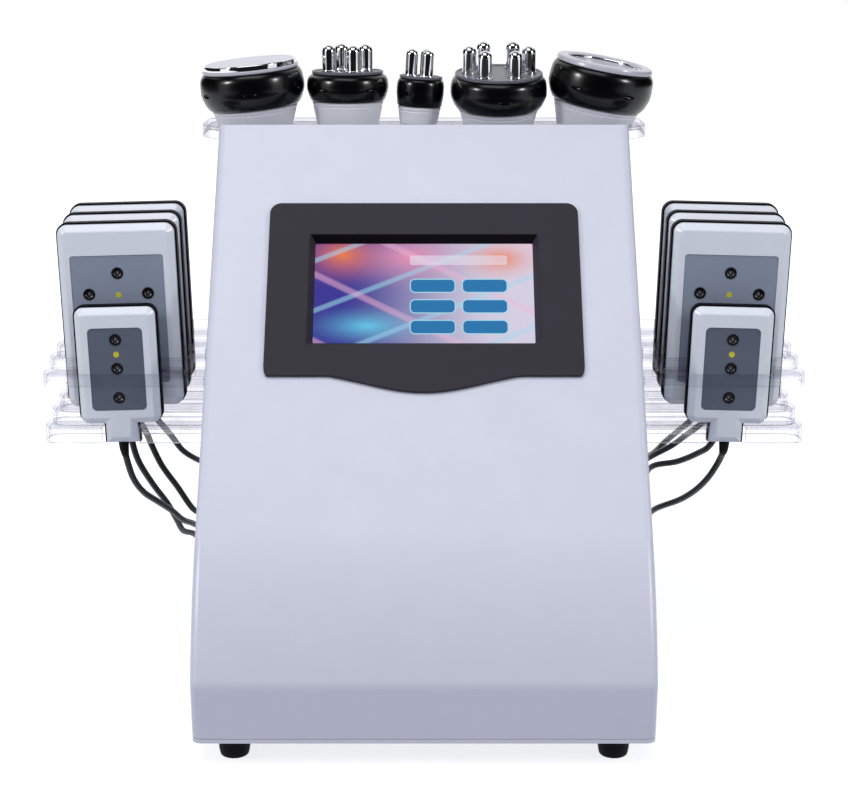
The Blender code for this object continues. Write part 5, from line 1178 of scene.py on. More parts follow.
@dataclass
class Cords:
    """The eight pad leads, their splitter, and the trunk with its coil and plug."""

    lead_diameter: float = 0.0055
    trunk_diameter: float = 0.006
    lane_pitch: float = 0.007
    lane_height: float = 0.010
    splitter_half: float = 0.030
    splitter_depth: float = 0.036
    splitter_height: float = 0.020
    coil_turns: float = 4.75
    coil_radius: float = 0.033
    coil_gap: float = 0.0006
    coil_steps: int = 32
    coil_setback: float = 0.064
    trunk_step: float = 0.004
    lead_step: float = 0.005
    stretch_step: float = 0.002
    middle_lane: float = 1.5
    plug_place: Point = (PLUG_X, 0.2323, PLUG_HEIGHT)
    boot_length: float = 0.013
    bend: float = 0.10
    held: float = 0.016

    def build(self) -> None:
        """Make the splitter and the plug, then the trunk and the leads."""
        splitter = self.make_splitter()
        plug = self.make_plug()
        self.make_trunk()
        for side in Side:
            for pad in PAD_PLACES:
                self.make_lead(side, pad)

    def make_splitter(self) -> Piece:
        """A moulded block in two halves, with a groove round its seam."""
        half = (self.splitter_half, self.splitter_depth / 2)
        body = plate("splitter_block", half, [0.004] * 4, 0.0, self.splitter_height, (0, SPLITTER_Y), 8)
        groove = plate("splitter_groove", (half[0] + 0.001, half[1] + 0.001), [0.004] * 4, 0.0130, 0.0137,
                       (0, SPLITTER_Y), 8)
        core = plate("splitter_core", (half[0] - 0.0005, half[1] - 0.0005), [0.0035] * 4, 0.012, 0.015,
                     (0, SPLITTER_Y), 8)
        cut(groove, core)
        cut(body, groove)
        round_edges(body, 0.0009)
        return dress(body, Finishes.rubber.build(), ROOT, "black_rubber", "lead_splitter")

    def make_plug(self) -> Piece:
        """The pads' plug, with a ribbed grip and a tapered tail."""
        profile = [(0.007, -0.012), (0.007, 0.0038), (0.0074, 0.0038), (0.008, 0.0044)]
        for rib in range(7):
            height = 0.007 + rib * 0.0028
            profile += [(0.008, height), (0.0073, height + 0.0005), (0.0073, height + 0.0012),
                        (0.008, height + 0.0017)]
        profile += [(0.008, 0.0275), (0.0074, 0.0295), (0.0058, 0.0325), (0.0052, 0.0365), (0.0047, 0.0393),
                    (0.0040, 0.0398)]
        plug = turned("pad_plug_grip", profile, 40)
        place = rearward_matrix(PLUG_X, PANEL_Y, PLUG_HEIGHT)
        return set_in(plug, 32, place, Finishes.rubber.build(), ROOT, "cord_rubber", "pad_plug")

    def coil_points(self) -> list[Vector]:
        """Centre line of the coil, from the splitter in along the ground and out again on top."""
        pitch = self.trunk_diameter + self.coil_gap
        ground = self.trunk_diameter / 2
        half = self.coil_turns / 2
        outer = self.coil_radius + pitch * half / 2
        steps = round(self.coil_turns * self.coil_steps)
        centre = Vector((outer, SPLITTER_Y + self.coil_setback, 0))
        start = SPLITTER_Y + self.splitter_depth / 2 + CLEARANCE
        points = [Vector((0, start, ground)), Vector((0, start + self.trunk_diameter, ground))]
        for index in range(steps + 1):
            turn = self.coil_turns * index / steps
            radius = outer - pitch * (half - abs(turn - half))
            climbed = min(max((turn - half) / 0.5 + 0.5, 0.0), 1.0)
            height = ground + pitch * (1 - math.cos(math.pi * climbed)) / 2
            angle = math.pi - math.tau * turn
            points.append(centre + Vector((math.cos(angle), math.sin(angle), 0)) * radius + Vector((0, 0, height)))
        return points

    def make_trunk(self) -> None:
        """The trunk from the plug to its coil and into the splitter, as one cord."""
        coil = self.coil_points()
        run_out = Vector((-self.trunk_diameter, 0, 0))
        end = Vector(self.plug_place) + Vector((0, CLEARANCE * 2, 0))
        back = Vector((0, self.trunk_diameter, 0))
        turn_out = coil[-1] + run_out
        route = [turn_out, turn_out + run_out, *(Vector(point) for point in TRUNK_ROUTE), end + back, end]
        points = list(reversed(coil + smooth_route(route, self.trunk_step, self.trunk_diameter)))
        trunk = tube("trunk_lead", points, [self.trunk_diameter / 2] * len(points))
        dress(trunk, Finishes.sheath.build(), ROOT, "cord_rubber", "trunk_coil", "trunk_cord")
        boot_points = list(reversed(points[-6:]))
        boot = self.make_boot("trunk_boot", boot_points, 0.0046, 0.0033)

    def make_boot(self, name: str, points: Sequence[Vector], start: float, end: float,
                  body: str = ROOT) -> Piece:
        """A tapered strain relief along the first points of a cord."""
        count = len(points) - 1
        radii = [start + (end - start) * index / count for index in range(count + 1)]
        boot = tube(name, points, radii, 4)
        with editing(boot, "VERT", whole=True):
            bpy.ops.mesh.bisect(plane_co=(0, 0, 0.0001), plane_no=(0, 0, -1), clear_outer=True, use_fill=True)
        return dress(boot, Finishes.rubber.build(), body, "cord_rubber")

    def stretch(self, points: Sequence[Vector], length: float) -> list[Vector]:
        """The first points of a line, up to a length and no more than a step apart."""
        found, travelled = [points[0]], 0.0
        for before, after in zip(points, points[1:]):
            step = (after - before).length
            count = max(1, math.ceil(step / self.stretch_step))
            for index in range(1, count + 1):
                if travelled + step * index / count > length:
                    return found
                found.append(before.lerp(after, index / count))
            travelled += step
        return found

    def make_lead(self, side: Side, pad: PadPlace) -> None:
        """A pad's lead, which runs between its pad and the splitter, with a boot at each end."""
        name = f"{side.label}_{pad.name}"
        lane, middle = LEAD_ROUTES[name]
        place = pad.matrix(side)
        start = place @ Vector((0, -pad.shape.neck_length - CLEARANCE, pad.shape.thickness / 2))
        down = place.to_3x3() @ Vector((0, -self.lead_diameter, 0))
        lane_y = SPLITTER_Y + (lane - self.middle_lane) * self.lane_pitch
        end = Vector((side.value * (self.splitter_half + CLEARANCE), lane_y, self.lane_height))
        out = Vector((side.value * self.lead_diameter, 0, 0))
        route = [start, start + down, *(Vector(point) for point in middle), end + out, end]
        points = smooth_route(route, self.lead_step, self.lead_diameter)
        lead = tube(f"pad_lead_{name}", points, [self.lead_diameter / 2] * len(points))
        material = Finishes.sheath.build()
        lead.data.materials.append(material)
        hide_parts(f"lead_{name}")
        body = f"pad_{name}_body"
        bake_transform(lead)
        LOG.info("%s bends between %s and %s", lead.name, ROOT, body)
        upper = self.make_boot(f"pad_boot_{name}", self.stretch(points, self.boot_length), 0.0044, 0.0031, body)
        lower_line = self.stretch(list(reversed(points)), 0.009)
        lower = self.make_boot(f"splitter_boot_{name}", lower_line, 0.0034, 0.0030)


# Housing, base and rear


@dataclass
class Housing:
    """The moulded cover, its base, its feet and the screen in its sloping face."""

    wall: float = 0.003
    chin_above: float = 0.090
    chin_below: float = 0.035
    chin_crease: float = 0.018
    side_radius: float = 0.007
    foot_setback: float = 0.004
    bezel_half: tuple[float, float] = (0.126, 0.080)
    bezel_proud: float = 0.003
    bezel_drop: float = 0.001
    bezel_corner: float = 0.0095
    belly: float = 0.0144
    belly_width: float = 0.150
    window: tuple[float, float] = (0.088, 0.04575)
    draft: float = 0.005
    collar_margin: float = 0.009
    collar_depth: float = 0.005
    screen_margin: float = 0.007
    screen_thickness: float = 0.006
    foot_across: float = 0.1435
    foot_ends: tuple[tuple[str, float], ...] = (("front", -0.169), ("rear", 0.173))

    def build(self) -> None:
        """Make the cover, the bezel and the screen, and dress the base and the feet."""
        self.make_cover()
        self.make_base()
        self.make_feet()
        self.make_bezel()
        self.make_screen()

    def make_cover(self) -> None:
        """The cover: a box bisected along its face, with a rounded chin and sides, made hollow."""
        cover = block("moulded_cover", (-HALF_WIDTH, FRONT_Y, SEAM_TOP), (HALF_WIDTH, REAR_Y, RIDGE_HEIGHT))
        with editing(cover, "VERT", whole=True):
            bpy.ops.mesh.bisect(
                plane_co=(0, RIDGE_Y, RIDGE_HEIGHT),
                plane_no=(0, -math.sin(FACE_SLOPE), math.cos(FACE_SLOPE)),
                clear_outer=True,
                use_fill=True,
            )
        over = 0.01
        cut(cover, block("deck_cut", (-HALF_WIDTH - over, LIP_REAR_Y, DECK_HEIGHT),
                         (HALF_WIDTH + over, REAR_Y + over, RIDGE_HEIGHT + over)))
        for place, angle in self.chin_planes():
            with editing(cover, "VERT", whole=True):
                bpy.ops.mesh.bisect(
                    plane_co=place,
                    plane_no=(0, -math.sin(angle), math.cos(angle)),
                    clear_outer=True,
                    use_fill=True,
                    threshold=0.0000005,
                )
        with editing(cover, "EDGE"):
            pick_edges(cover, self.is_side_edge)
            bpy.ops.mesh.bevel(offset=self.side_radius, offset_type="OFFSET", segments=6, profile=0.5)
        with editing(cover, "FACE"):
            pick_faces(
                cover,
                lambda centre, normal: (normal.z < -0.9 and centre.z < SEAM_TOP + CLOSE)
                or (normal.y > 0.9 and centre.y > REAR_Y - CLOSE),
            )
            bpy.ops.mesh.delete(type="FACE")
        modify(cover, "SOLIDIFY", thickness=self.wall, offset=-1.0, use_even_offset=True)
        half = (self.window[0] + self.collar_margin + CLEARANCE, self.window[1] + self.collar_margin + CLEARANCE)
        opening = block("screen_opening", (-half[0], -half[1], -0.008), (*half, 0.006))
        cut(cover, settle(opening, face_matrix(WINDOW_CENTRE)))
        round_edges(cover, 0.0008, 3, 50)
        dress(cover, Finishes.cover.build(), ROOT, "white_moulding", "housing_cover")

    def chin_planes(self) -> list[tuple[Vector, float]]:
        """Places and slopes of the cuts that round the chin, down to its crease, and set the foot back."""
        corner = Vector((0, FRONT_Y, CHIN_HEIGHT))
        start = corner + Vector((0, math.cos(FACE_SLOPE), math.sin(FACE_SLOPE))) * self.chin_above
        crease = corner - Vector((0, 0, self.chin_below))
        chord = start - crease
        chord_slope = math.atan2(chord.z, chord.y)
        last = 2 * chord_slope - FACE_SLOPE
        radius = chord.length / 2 / math.sin(chord_slope - FACE_SLOPE)
        foot = math.pi / 2 + math.atan2(self.foot_setback, crease.z - SEAM_TOP)
        planes = []
        for begin, end, reach, count, through in (
            (FACE_SLOPE, last, radius, 14, start),
            (last, foot, self.chin_crease, 5, None),
        ):
            if through is None:
                half = (end - begin) / 2
                middle = (begin + end) / 2
                inward = Vector((0, math.sin(middle), -math.cos(middle)))
                centre = crease + inward * (reach / math.cos(half))
            else:
                centre = through - Vector((0, -math.sin(begin), math.cos(begin))) * reach
            for step in range(1, count + 1):
                angle = begin + (end - begin) * step / count
                planes.append((centre + Vector((0, -math.sin(angle), math.cos(angle))) * reach, angle))
        return planes

    def is_side_edge(self, a: Vector, b: Vector) -> bool:
        """True for an edge along the front, the chin or the sloping face at either side."""
        middle = (a + b) / 2
        level = abs(a.z - SEAM_TOP) < CLOSE and abs(b.z - SEAM_TOP) < CLOSE
        at_side = abs(abs(a.x) - HALF_WIDTH) < NEAR and abs(a.x - b.x) < NEAR
        return at_side and not level and middle.y < RIDGE_Y - CLOSE

    def make_base(self) -> None:
        """The base tray, whose shape is right in the model."""
        node = bpy.data.objects["base_tray"]
        node.data.materials.clear()
        node.data.materials.append(Finishes.cover.build())

    def make_feet(self) -> None:
        """Four rubber feet, each with a rounded tread and a screw hole."""
        profile = [(0.0048, 0.0030), (0.0052, 0.0002), (0.0060, 0.0), (0.0103, 0.0), (0.0108, 0.0006),
                   (0.0114, 0.0032), (0.0118, 0.0060), (0.0118, 0.0190), (0.0115, 0.0197)]
        pattern = turned("foot_pattern", profile, 48)
        shade(pattern)
        for side in Side:
            for end, y in self.foot_ends:
                name = f"foot_{end}_{side.label}"
                foot = copied(pattern, f"rubber_{name}", Matrix.Translation((side.value * self.foot_across, y, 0)))
                dress(foot, Finishes.rubber.build(), ROOT, "black_rubber", name)
        discard(pattern)

    def make_bezel(self) -> None:
        """The screen's raised frame: a plate with a swelling lower edge, a collar and a window, whose upper wall is
        painted black as painted shade.
        """
        half_x, half_y = self.bezel_half
        bottom, top = -half_y + self.bezel_drop, half_y + self.bezel_drop
        bezel = block("charcoal_bezel", (-half_x, bottom, CLEARANCE), (half_x, top, self.bezel_proud))
        with editing(bezel, "EDGE"):
            pick_edges(bezel, lambda a, b: all(abs(v.y - bottom) < SAME for v in (a, b)) and abs(a.x - b.x) > 0.1)
            bpy.ops.mesh.subdivide(number_cuts=71)
            mesh = bmesh.from_edit_mesh(bezel.data)
            for vert in mesh.verts:
                share = vert.co.x / (self.belly_width / 2)
                if abs(vert.co.y - bottom) < SAME and abs(share) < 1:
                    vert.co.y -= self.belly * ((1 + math.cos(math.pi * share)) / 4 + (1 - share**2) / 2)
            bmesh.update_edit_mesh(bezel.data)
        with editing(bezel, "EDGE"):
            pick_edges(bezel, lambda a, b: abs(a.z - b.z) > 0.002 and abs(abs(a.x) - half_x) < SAME)
            bpy.ops.mesh.bevel(offset=self.bezel_corner, offset_type="OFFSET", segments=10, profile=0.5)
        collar = (self.window[0] + self.collar_margin, self.window[1] + self.collar_margin)
        cut(bezel, block("bezel_collar", (-collar[0], -collar[1], -self.collar_depth), (*collar, 0.0008)), "UNION")
        window = block("bezel_window", (-self.window[0], -self.window[1], -self.collar_depth),
                       (*self.window, self.bezel_proud))
        with editing(window, "FACE"):
            pick_faces(window, lambda centre, normal: normal.z > 0.9)
            grow = (1 + self.draft / self.window[0], 1 + self.draft / self.window[1], 1)
            bpy.ops.transform.resize(value=grow)
            bpy.ops.mesh.extrude_region_move(TRANSFORM_OT_translate={"value": (0, 0, 0.004)})
            pick_faces(window, lambda centre, normal: normal.z < -0.9)
            bpy.ops.mesh.extrude_region_move(TRANSFORM_OT_translate={"value": (0, 0, -0.004)})
        cut(bezel, window)
        round_edges(bezel, 0.0009, 3, 40)
        bezel.data.materials.append(Finishes.bezel.build())
        bezel.data.materials.append(Finishes.pad_rear.build())
        # Painted shade: the window's upper wall, which faces down the slope, takes the satin black of the pads' rear
        # shells so that it looks shadowed.
        for face in bezel.data.polygons:
            if face.normal.y < -0.6 and 0.04 < face.center.y < self.window[1] + self.draft + 0.0003:
                face.material_index = 1
        settle(bezel, face_matrix(WINDOW_CENTRE))
        dress(bezel, None, ROOT, "black_gloss", "screen_bezel")

    def make_screen(self) -> None:
        """The touch screen, lit from within."""
        top = -self.collar_depth - CLEARANCE
        half = (self.window[0] + self.screen_margin, self.window[1] + self.screen_margin)
        screen = plate("lit_screen", half, [0.001] * 4, top - self.screen_thickness, top)
        round_edges(screen, 0.0004, 2)
        settle(screen, face_matrix(WINDOW_CENTRE))
        dress(screen, Finishes.display.build(), ROOT, "screen_glass", "touch_screen")


# Handpieces


@dataclass(frozen=True)
class Handpiece:
    """Sizes of one handpiece. Heights are along its own axis, from the top of the rack's plate."""

    name: str
    head: Head
    across: float
    roll: float
    lean: float
    tail: float
    seat: float
    collar: float
    ring_bottom: float
    ring_height: float
    ring_foot: float
    ring: float
    ring_top: float
    bore: float
    head_height: float
    slit_count: int
    slit_turn: float
    pins: int = 0
    pin_radius: float = 0.0
    pin_height: float = 0.0
    pin_circle: float = 0.0
    pin_turn: float = 0.0

    @property
    def body(self) -> str:
        """Name of the body that the handpiece is."""
        return f"{self.name}_handpiece"

    @property
    def place(self) -> Matrix:
        """Place of the handpiece's axis."""
        turn = Matrix.Rotation(math.radians(self.roll), 4, "Y") @ Matrix.Rotation(math.radians(self.lean), 4, "X")
        return Matrix.Translation((self.across, HANDPIECE_ROW_Y, TRAY_TOP)) @ turn

    @property
    def top(self) -> float:
        """Height of the ring's top."""
        return self.ring_bottom + self.ring_height


HANDPIECES = (
    Handpiece("ultrasonic", Head.DISC, -0.1454, -5.5, 2.0, 0.021, 0.0325, 0.0375, 0.0138, 0.0312, 0.0385,
              0.045, 0.0415, 0.030, 0.0082, 6, 2.0),
    Handpiece("four_pole", Head.PINS, -0.066, 0.0, 0.0, 0.017, 0.027, 0.031, 0.0188, 0.0231, 0.0315,
              0.0353, 0.0308, 0.025, 0.0028, 5, -36.0, 4, 0.006, 0.022, 0.0165, -70.0),
    Handpiece("three_pole", Head.PINS, -0.0049, 3.5, 0.0, 0.011, 0.0162, 0.019, 0.0142, 0.0234, 0.0192,
              0.0206, 0.0186, 0.0150, 0.0026, 4, -31.0, 3, 0.0052, 0.0225, 0.0088, -55.0),
    Handpiece("six_pole", Head.PINS, 0.0645, 0.0, 7.0, 0.020, 0.0308, 0.0343, 0.0119, 0.0288, 0.0348,
              0.0418, 0.0378, 0.0335, 0.0030, 5, 5.0, 6, 0.006, 0.0225, 0.0255, -60.0),
    Handpiece("vacuum", Head.CUP, 0.1464, 10.5, 3.5, 0.021, 0.0325, 0.0375, 0.0157, 0.0331, 0.0385,
              0.045, 0.0415, 0.035, 0.0052, 6, 29.0),
)


@dataclass
class HandpieceSet:
    """Builds the pieces of each handpiece: neck, ring and head."""

    pieces: Sequence[Handpiece] = field(default_factory=lambda: HANDPIECES)
    tail_depth: float = 0.042
    gland_length: float = 0.006
    gland_radius: float = 0.006
    bulge_steps: int = 16
    sill: float = 0.0055
    cup_depth: float = 0.014
    cup_radius: float = 0.030

    def build(self) -> None:
        """Make all five handpieces."""
        for piece in self.pieces:
            self.make_neck(piece)
            self.make_ring(piece)
            if piece.head is Head.DISC:
                self.make_disc(piece)
            elif piece.head is Head.CUP:
                self.make_cup(piece)
            else:
                self.make_pins(piece)

    def head_floor(self, piece: Handpiece) -> float:
        """Height of the underside of what sits in the ring's bore."""
        if piece.head is Head.CUP:
            return piece.top + piece.head_height - self.cup_depth - 0.003
        return piece.top - 0.004

    def add(self, piece: Handpiece, name: str, profile: Profile, angle: float, material: Material, slot: str,
            *nodes: str, closed: bool = False) -> None:
        """Turn a piece of a handpiece, and set it in its place."""
        made = turned(name, profile, 96, closed)
        set_in(made, angle, piece.place, material, piece.body, slot, *nodes)

    def make_neck(self, piece: Handpiece) -> None:
        """The tapered neck, with a lead gland, a chamfered tail and a fine groove under its collar."""
        slope = (piece.collar - piece.seat) / piece.ring_bottom
        top = piece.ring_bottom - CLEARANCE
        spigot = piece.bore - CLEARANCE
        gland, bottom = self.gland_radius, -self.tail_depth
        profile = [
            (gland - 0.0012, bottom - self.gland_length),
            (gland, bottom - self.gland_length + 0.0012),
            (gland, bottom),
            (piece.tail - 0.0015, bottom),
            (piece.tail, bottom + 0.0015),
            (piece.seat - slope * self.sill, -self.sill),
            (piece.seat + slope * (top - 0.0042), top - 0.0042),
            (piece.seat + slope * (top - 0.0042) - 0.0006, top - 0.0038),
            (piece.seat + slope * (top - 0.0030) - 0.0006, top - 0.0030),
            (piece.seat + slope * (top - 0.0026), top - 0.0026),
            (piece.seat + slope * (top - 0.0007), top - 0.0007),
            (piece.seat + slope * top - 0.0008, top),
            (spigot, top),
            (spigot, self.head_floor(piece) - CLEARANCE),
        ]
        self.add(piece, f"{piece.name}_turned_neck", profile, 25, Finishes.aluminium.build(piece.place),
                 "satin_metal", f"{piece.name}_neck")

    def bulge(self, share: float) -> float:
        """How far out the ring's side swells at a share of its height, from 0 to 1."""
        knots = ((0.0, 0.0), (0.22, 0.62), (0.50, 1.0), (0.78, 0.86), (1.0, 0.0))
        points = [Vector((x, y, 0)) for x, y in ((-0.1, -0.5), *knots, (1.1, -0.6))]
        fours = zip(points, points[1:], points[2:], points[3:])
        curve = (between(four, step / 24) for four in fours for step in range(25))
        best = min(curve, key=lambda found: abs(found.x - share))
        return min(max(best.y, 0.0), 1.0)

    def make_ring(self, piece: Handpiece) -> None:
        """The bulged grip ring, with lens-shaped finger dimples round it."""
        profile = [(piece.bore, piece.ring_bottom), (piece.ring_foot - 0.0012, piece.ring_bottom)]
        for step in range(self.bulge_steps + 1):
            share = 0.03 + 0.94 * step / self.bulge_steps
            straight = piece.ring_foot + (piece.ring_top - piece.ring_foot) * share
            radius = straight + (piece.ring - straight) * self.bulge(share)
            profile.append((radius, piece.ring_bottom + piece.ring_height * share))
        profile += [(piece.ring_top - 0.0012, piece.top), (piece.bore, piece.top)]
        ring = turned(f"{piece.name}_gloss_ring", profile, 96, closed=True)
        for index in range(piece.slit_count):
            turn = math.radians(piece.slit_turn + 360 * index / piece.slit_count)
            height = piece.ring_bottom + piece.ring_height * 0.47
            bpy.ops.object.select_all(action="DESELECT")
            bpy.ops.mesh.primitive_uv_sphere_add(segments=32, ring_count=16, radius=1)
            slit = named("ring_dimple")
            reach = min(0.0060, piece.ring * 0.17)
            shape = Matrix.Diagonal((reach, 0.0022, 0.0018, 1))
            place = Matrix.Rotation(turn, 4, "Z") @ Matrix.Translation((0, -piece.ring + 0.0002, height))
            slit.data.transform(place @ shape)
            cut(ring, slit)
        set_in(ring, 40, piece.place, Finishes.piano.build(), piece.body, "ring_gloss", f"{piece.name}_ring")

    def make_disc(self, piece: Handpiece) -> None:
        """The ultrasonic head: a rim, a bright band and a matt disc on top."""
        top = piece.top
        spigot = piece.bore - CLEARANCE
        rim = [(spigot, top - 0.004), (spigot, top + CLEARANCE)]
        rim += stepped(piece.ring_top, top, (
            (-0.0006, CLEARANCE), (0, 0.0009), (0, 0.0026), (-0.0006, 0.0032), (-0.0024, 0.0032)))
        self.add(piece, "ultrasonic_rim", rim, 32, Finishes.cup.build(), "polished_metal", f"{piece.name}_disc")
        radius = piece.ring_top - 0.0016
        high = top + piece.head_height
        band = stepped(radius, top, ((-0.001, 0.003), (0, 0.0034)))
        band += stepped(radius, high, (
            (0, -0.0016), (-0.0004, -0.0008), (-0.0014, -0.0002), (-0.0024, -0.0004), (-0.0026, -0.0012)))
        self.add(piece, "ultrasonic_band", band, 60, Finishes.chrome.build(), "polished_metal")
        face = stepped(radius, high, ((-0.0025, -0.0014), (-0.0025, -0.0004), (-0.0032, 0)))
        self.add(piece, "ultrasonic_face", face, 20, Finishes.disc.build(), "polished_metal")

    def make_cup(self, piece: Handpiece) -> None:
        """The vacuum head: a grey rim, a bright lip and a grey lining."""
        mouth = piece.top + piece.head_height
        floor = mouth - self.cup_depth
        spigot = piece.bore - CLEARANCE
        inner, edge = self.cup_radius, piece.ring_top
        rim = [(spigot, floor - 0.003), (spigot, piece.top + CLEARANCE)]
        rim += stepped(edge, piece.top, ((-0.0006, CLEARANCE), (0, 0.0009)))
        rim += stepped(edge, mouth, ((0, -0.0022), (-0.0008, -0.0006), (-0.0022, 0)))
        rim += stepped(inner, mouth, ((0.0035, 0), (0.0022, -0.0010), (0.0018, -0.0030)))
        rim.append((inner + 0.0018, floor + 0.0005))
        self.add(piece, "vacuum_rim", rim, 40, Finishes.cup.build(), "cup_plastic", "vacuum_cup")
        lip = stepped(inner, mouth, (
            (0.0017, -0.0032), (0.0017, -0.0024), (0.0012, -0.0017), (0.0005, -0.0017), (0, -0.0023), (0, -0.0032)))
        self.add(piece, "vacuum_lip", lip, 50, Finishes.chrome.build(), "polished_metal", closed=True)
        lining = [(inner + 0.0017, floor + 0.0006)]
        lining += stepped(inner, mouth, ((0.0017, -0.0033), (0.0002, -0.0033)))
        lining += stepped(inner, floor, ((-0.0012, 0.0050), (-0.0034, 0.0020), (-0.0070, 0.0010)))
        lining += [(0.004, floor + 0.0008), (0.003, floor + 0.0002)]
        self.add(piece, "vacuum_lining", lining, 50, Finishes.cup.build(), "cup_plastic")

    def make_pins(self, piece: Handpiece) -> None:
        """The face plate with its raised rim, and the domed electrodes on their feet."""
        high = piece.top + piece.head_height
        seat = piece.top + CLEARANCE
        profile = stepped(piece.ring_top, seat, ((-0.0004, 0), (0, 0.0004)))
        profile += stepped(piece.ring_top, high, (
            (0, -0.0006), (-0.0006, 0), (-0.0017, 0), (-0.0023, -0.0007), (-0.0030, -0.0009)))
        self.add(piece, f"{piece.name}_face_plate", profile, 30, Finishes.frosted.build(), "face_plastic",
                 f"{piece.name}_plate")
        radius = piece.pin_radius
        tip = high + piece.pin_height
        profile = stepped(radius, high - 0.0006, (
            (0.0009, -0.001), (0.0009, 0.0007), (0.0006, 0.0011), (0, 0.0011), (-0.0002, 0.0018), (0, 0.0026)))
        for step in range(9):
            turn = math.pi / 2 * step / 9
            profile.append((radius * math.cos(turn), tip - radius + radius * math.sin(turn)))
        profile.append((radius * 0.06, tip))
        pattern = turned("pin_pattern", profile, 40)
        shade(pattern, 40)
        pins = []
        for index in range(piece.pins):
            turn = math.radians(piece.pin_turn) + math.tau * index / piece.pins
            shift = Matrix.Translation(around(piece.pin_circle, turn))
            pins.append(copied(pattern, f"{piece.name}_pin_{index}", piece.place @ shift))
        discard(pattern)
        pins = joined(f"{piece.name}_domed_pins", pins)
        dress(pins, Finishes.chrome.build(), piece.body, "polished_metal", f"{piece.name}_electrodes")


# Racks and pads


@dataclass
class HandpieceRack:
    """The clear rack on top, with a hole for each handpiece."""

    half_width: float = 0.192
    front: float = 0.1043
    depth: float = 0.092
    top: float = TRAY_TOP
    sheet: float = 0.003
    skirt: float = 0.011
    leg_width: float = 0.026
    leg_inset: float = 0.018

    def build(self) -> None:
        """Make the tray with its skirt, its legs and its five tapered holes."""
        half = (self.half_width, self.depth / 2)
        centre = (0.0, self.front + self.depth / 2)
        radii = [0.045, 0.045, 0.012, 0.012]
        tray = plate("clear_handpiece_rack", half, radii, self.top - self.skirt, self.top, centre, 24)
        with editing(tray, "FACE"):
            pick_faces(tray, lambda place, normal: normal.z < -0.9)
            bpy.ops.mesh.inset(thickness=self.sheet)
            bpy.ops.transform.translate(value=(0, 0, self.skirt - self.sheet))
        rear = self.front + self.depth
        for side in Side:
            outer = side.value * (HALF_WIDTH - self.leg_inset)
            inner = outer - side.value * self.leg_width
            low = (min(outer, inner), rear - self.sheet, DECK_HEIGHT + CLEARANCE)
            leg = block("rack_leg", low, (max(outer, inner), rear, self.top - self.sheet / 2))
            cut(tray, leg, "UNION")
        for piece in HANDPIECES:
            slope = (piece.collar - piece.seat) / piece.ring_bottom
            radius = piece.seat + CLEARANCE
            reach = self.skirt
            hole = turned("rack_hole", [(radius - slope * reach, -reach), (radius + slope * reach, reach)], 72)
            cut(tray, settle(hole, piece.place))
        rim(tray)
        round_edges(tray, 0.0011, 3, 40, 1)
        dress(tray, None, ROOT, "clear_acrylic", "handle_rack")


@dataclass
class SideRacks:
    """The clear racks at both sides, whose sheets are folded, stepped and slotted for the pads."""

    edge: float = 0.0012

    def build(self) -> None:
        """Round the edges of both tiers at both sides."""
        for side in Side:
            for tier in ("lower", "upper"):
                node = f"rack_{side.label}_{tier}"
                rack = refined(node, f"clear_{tier}_rack_{side.label}", self.edge, 2, rimmed=True)
                dress(rack, None, ROOT, "clear_acrylic", node)


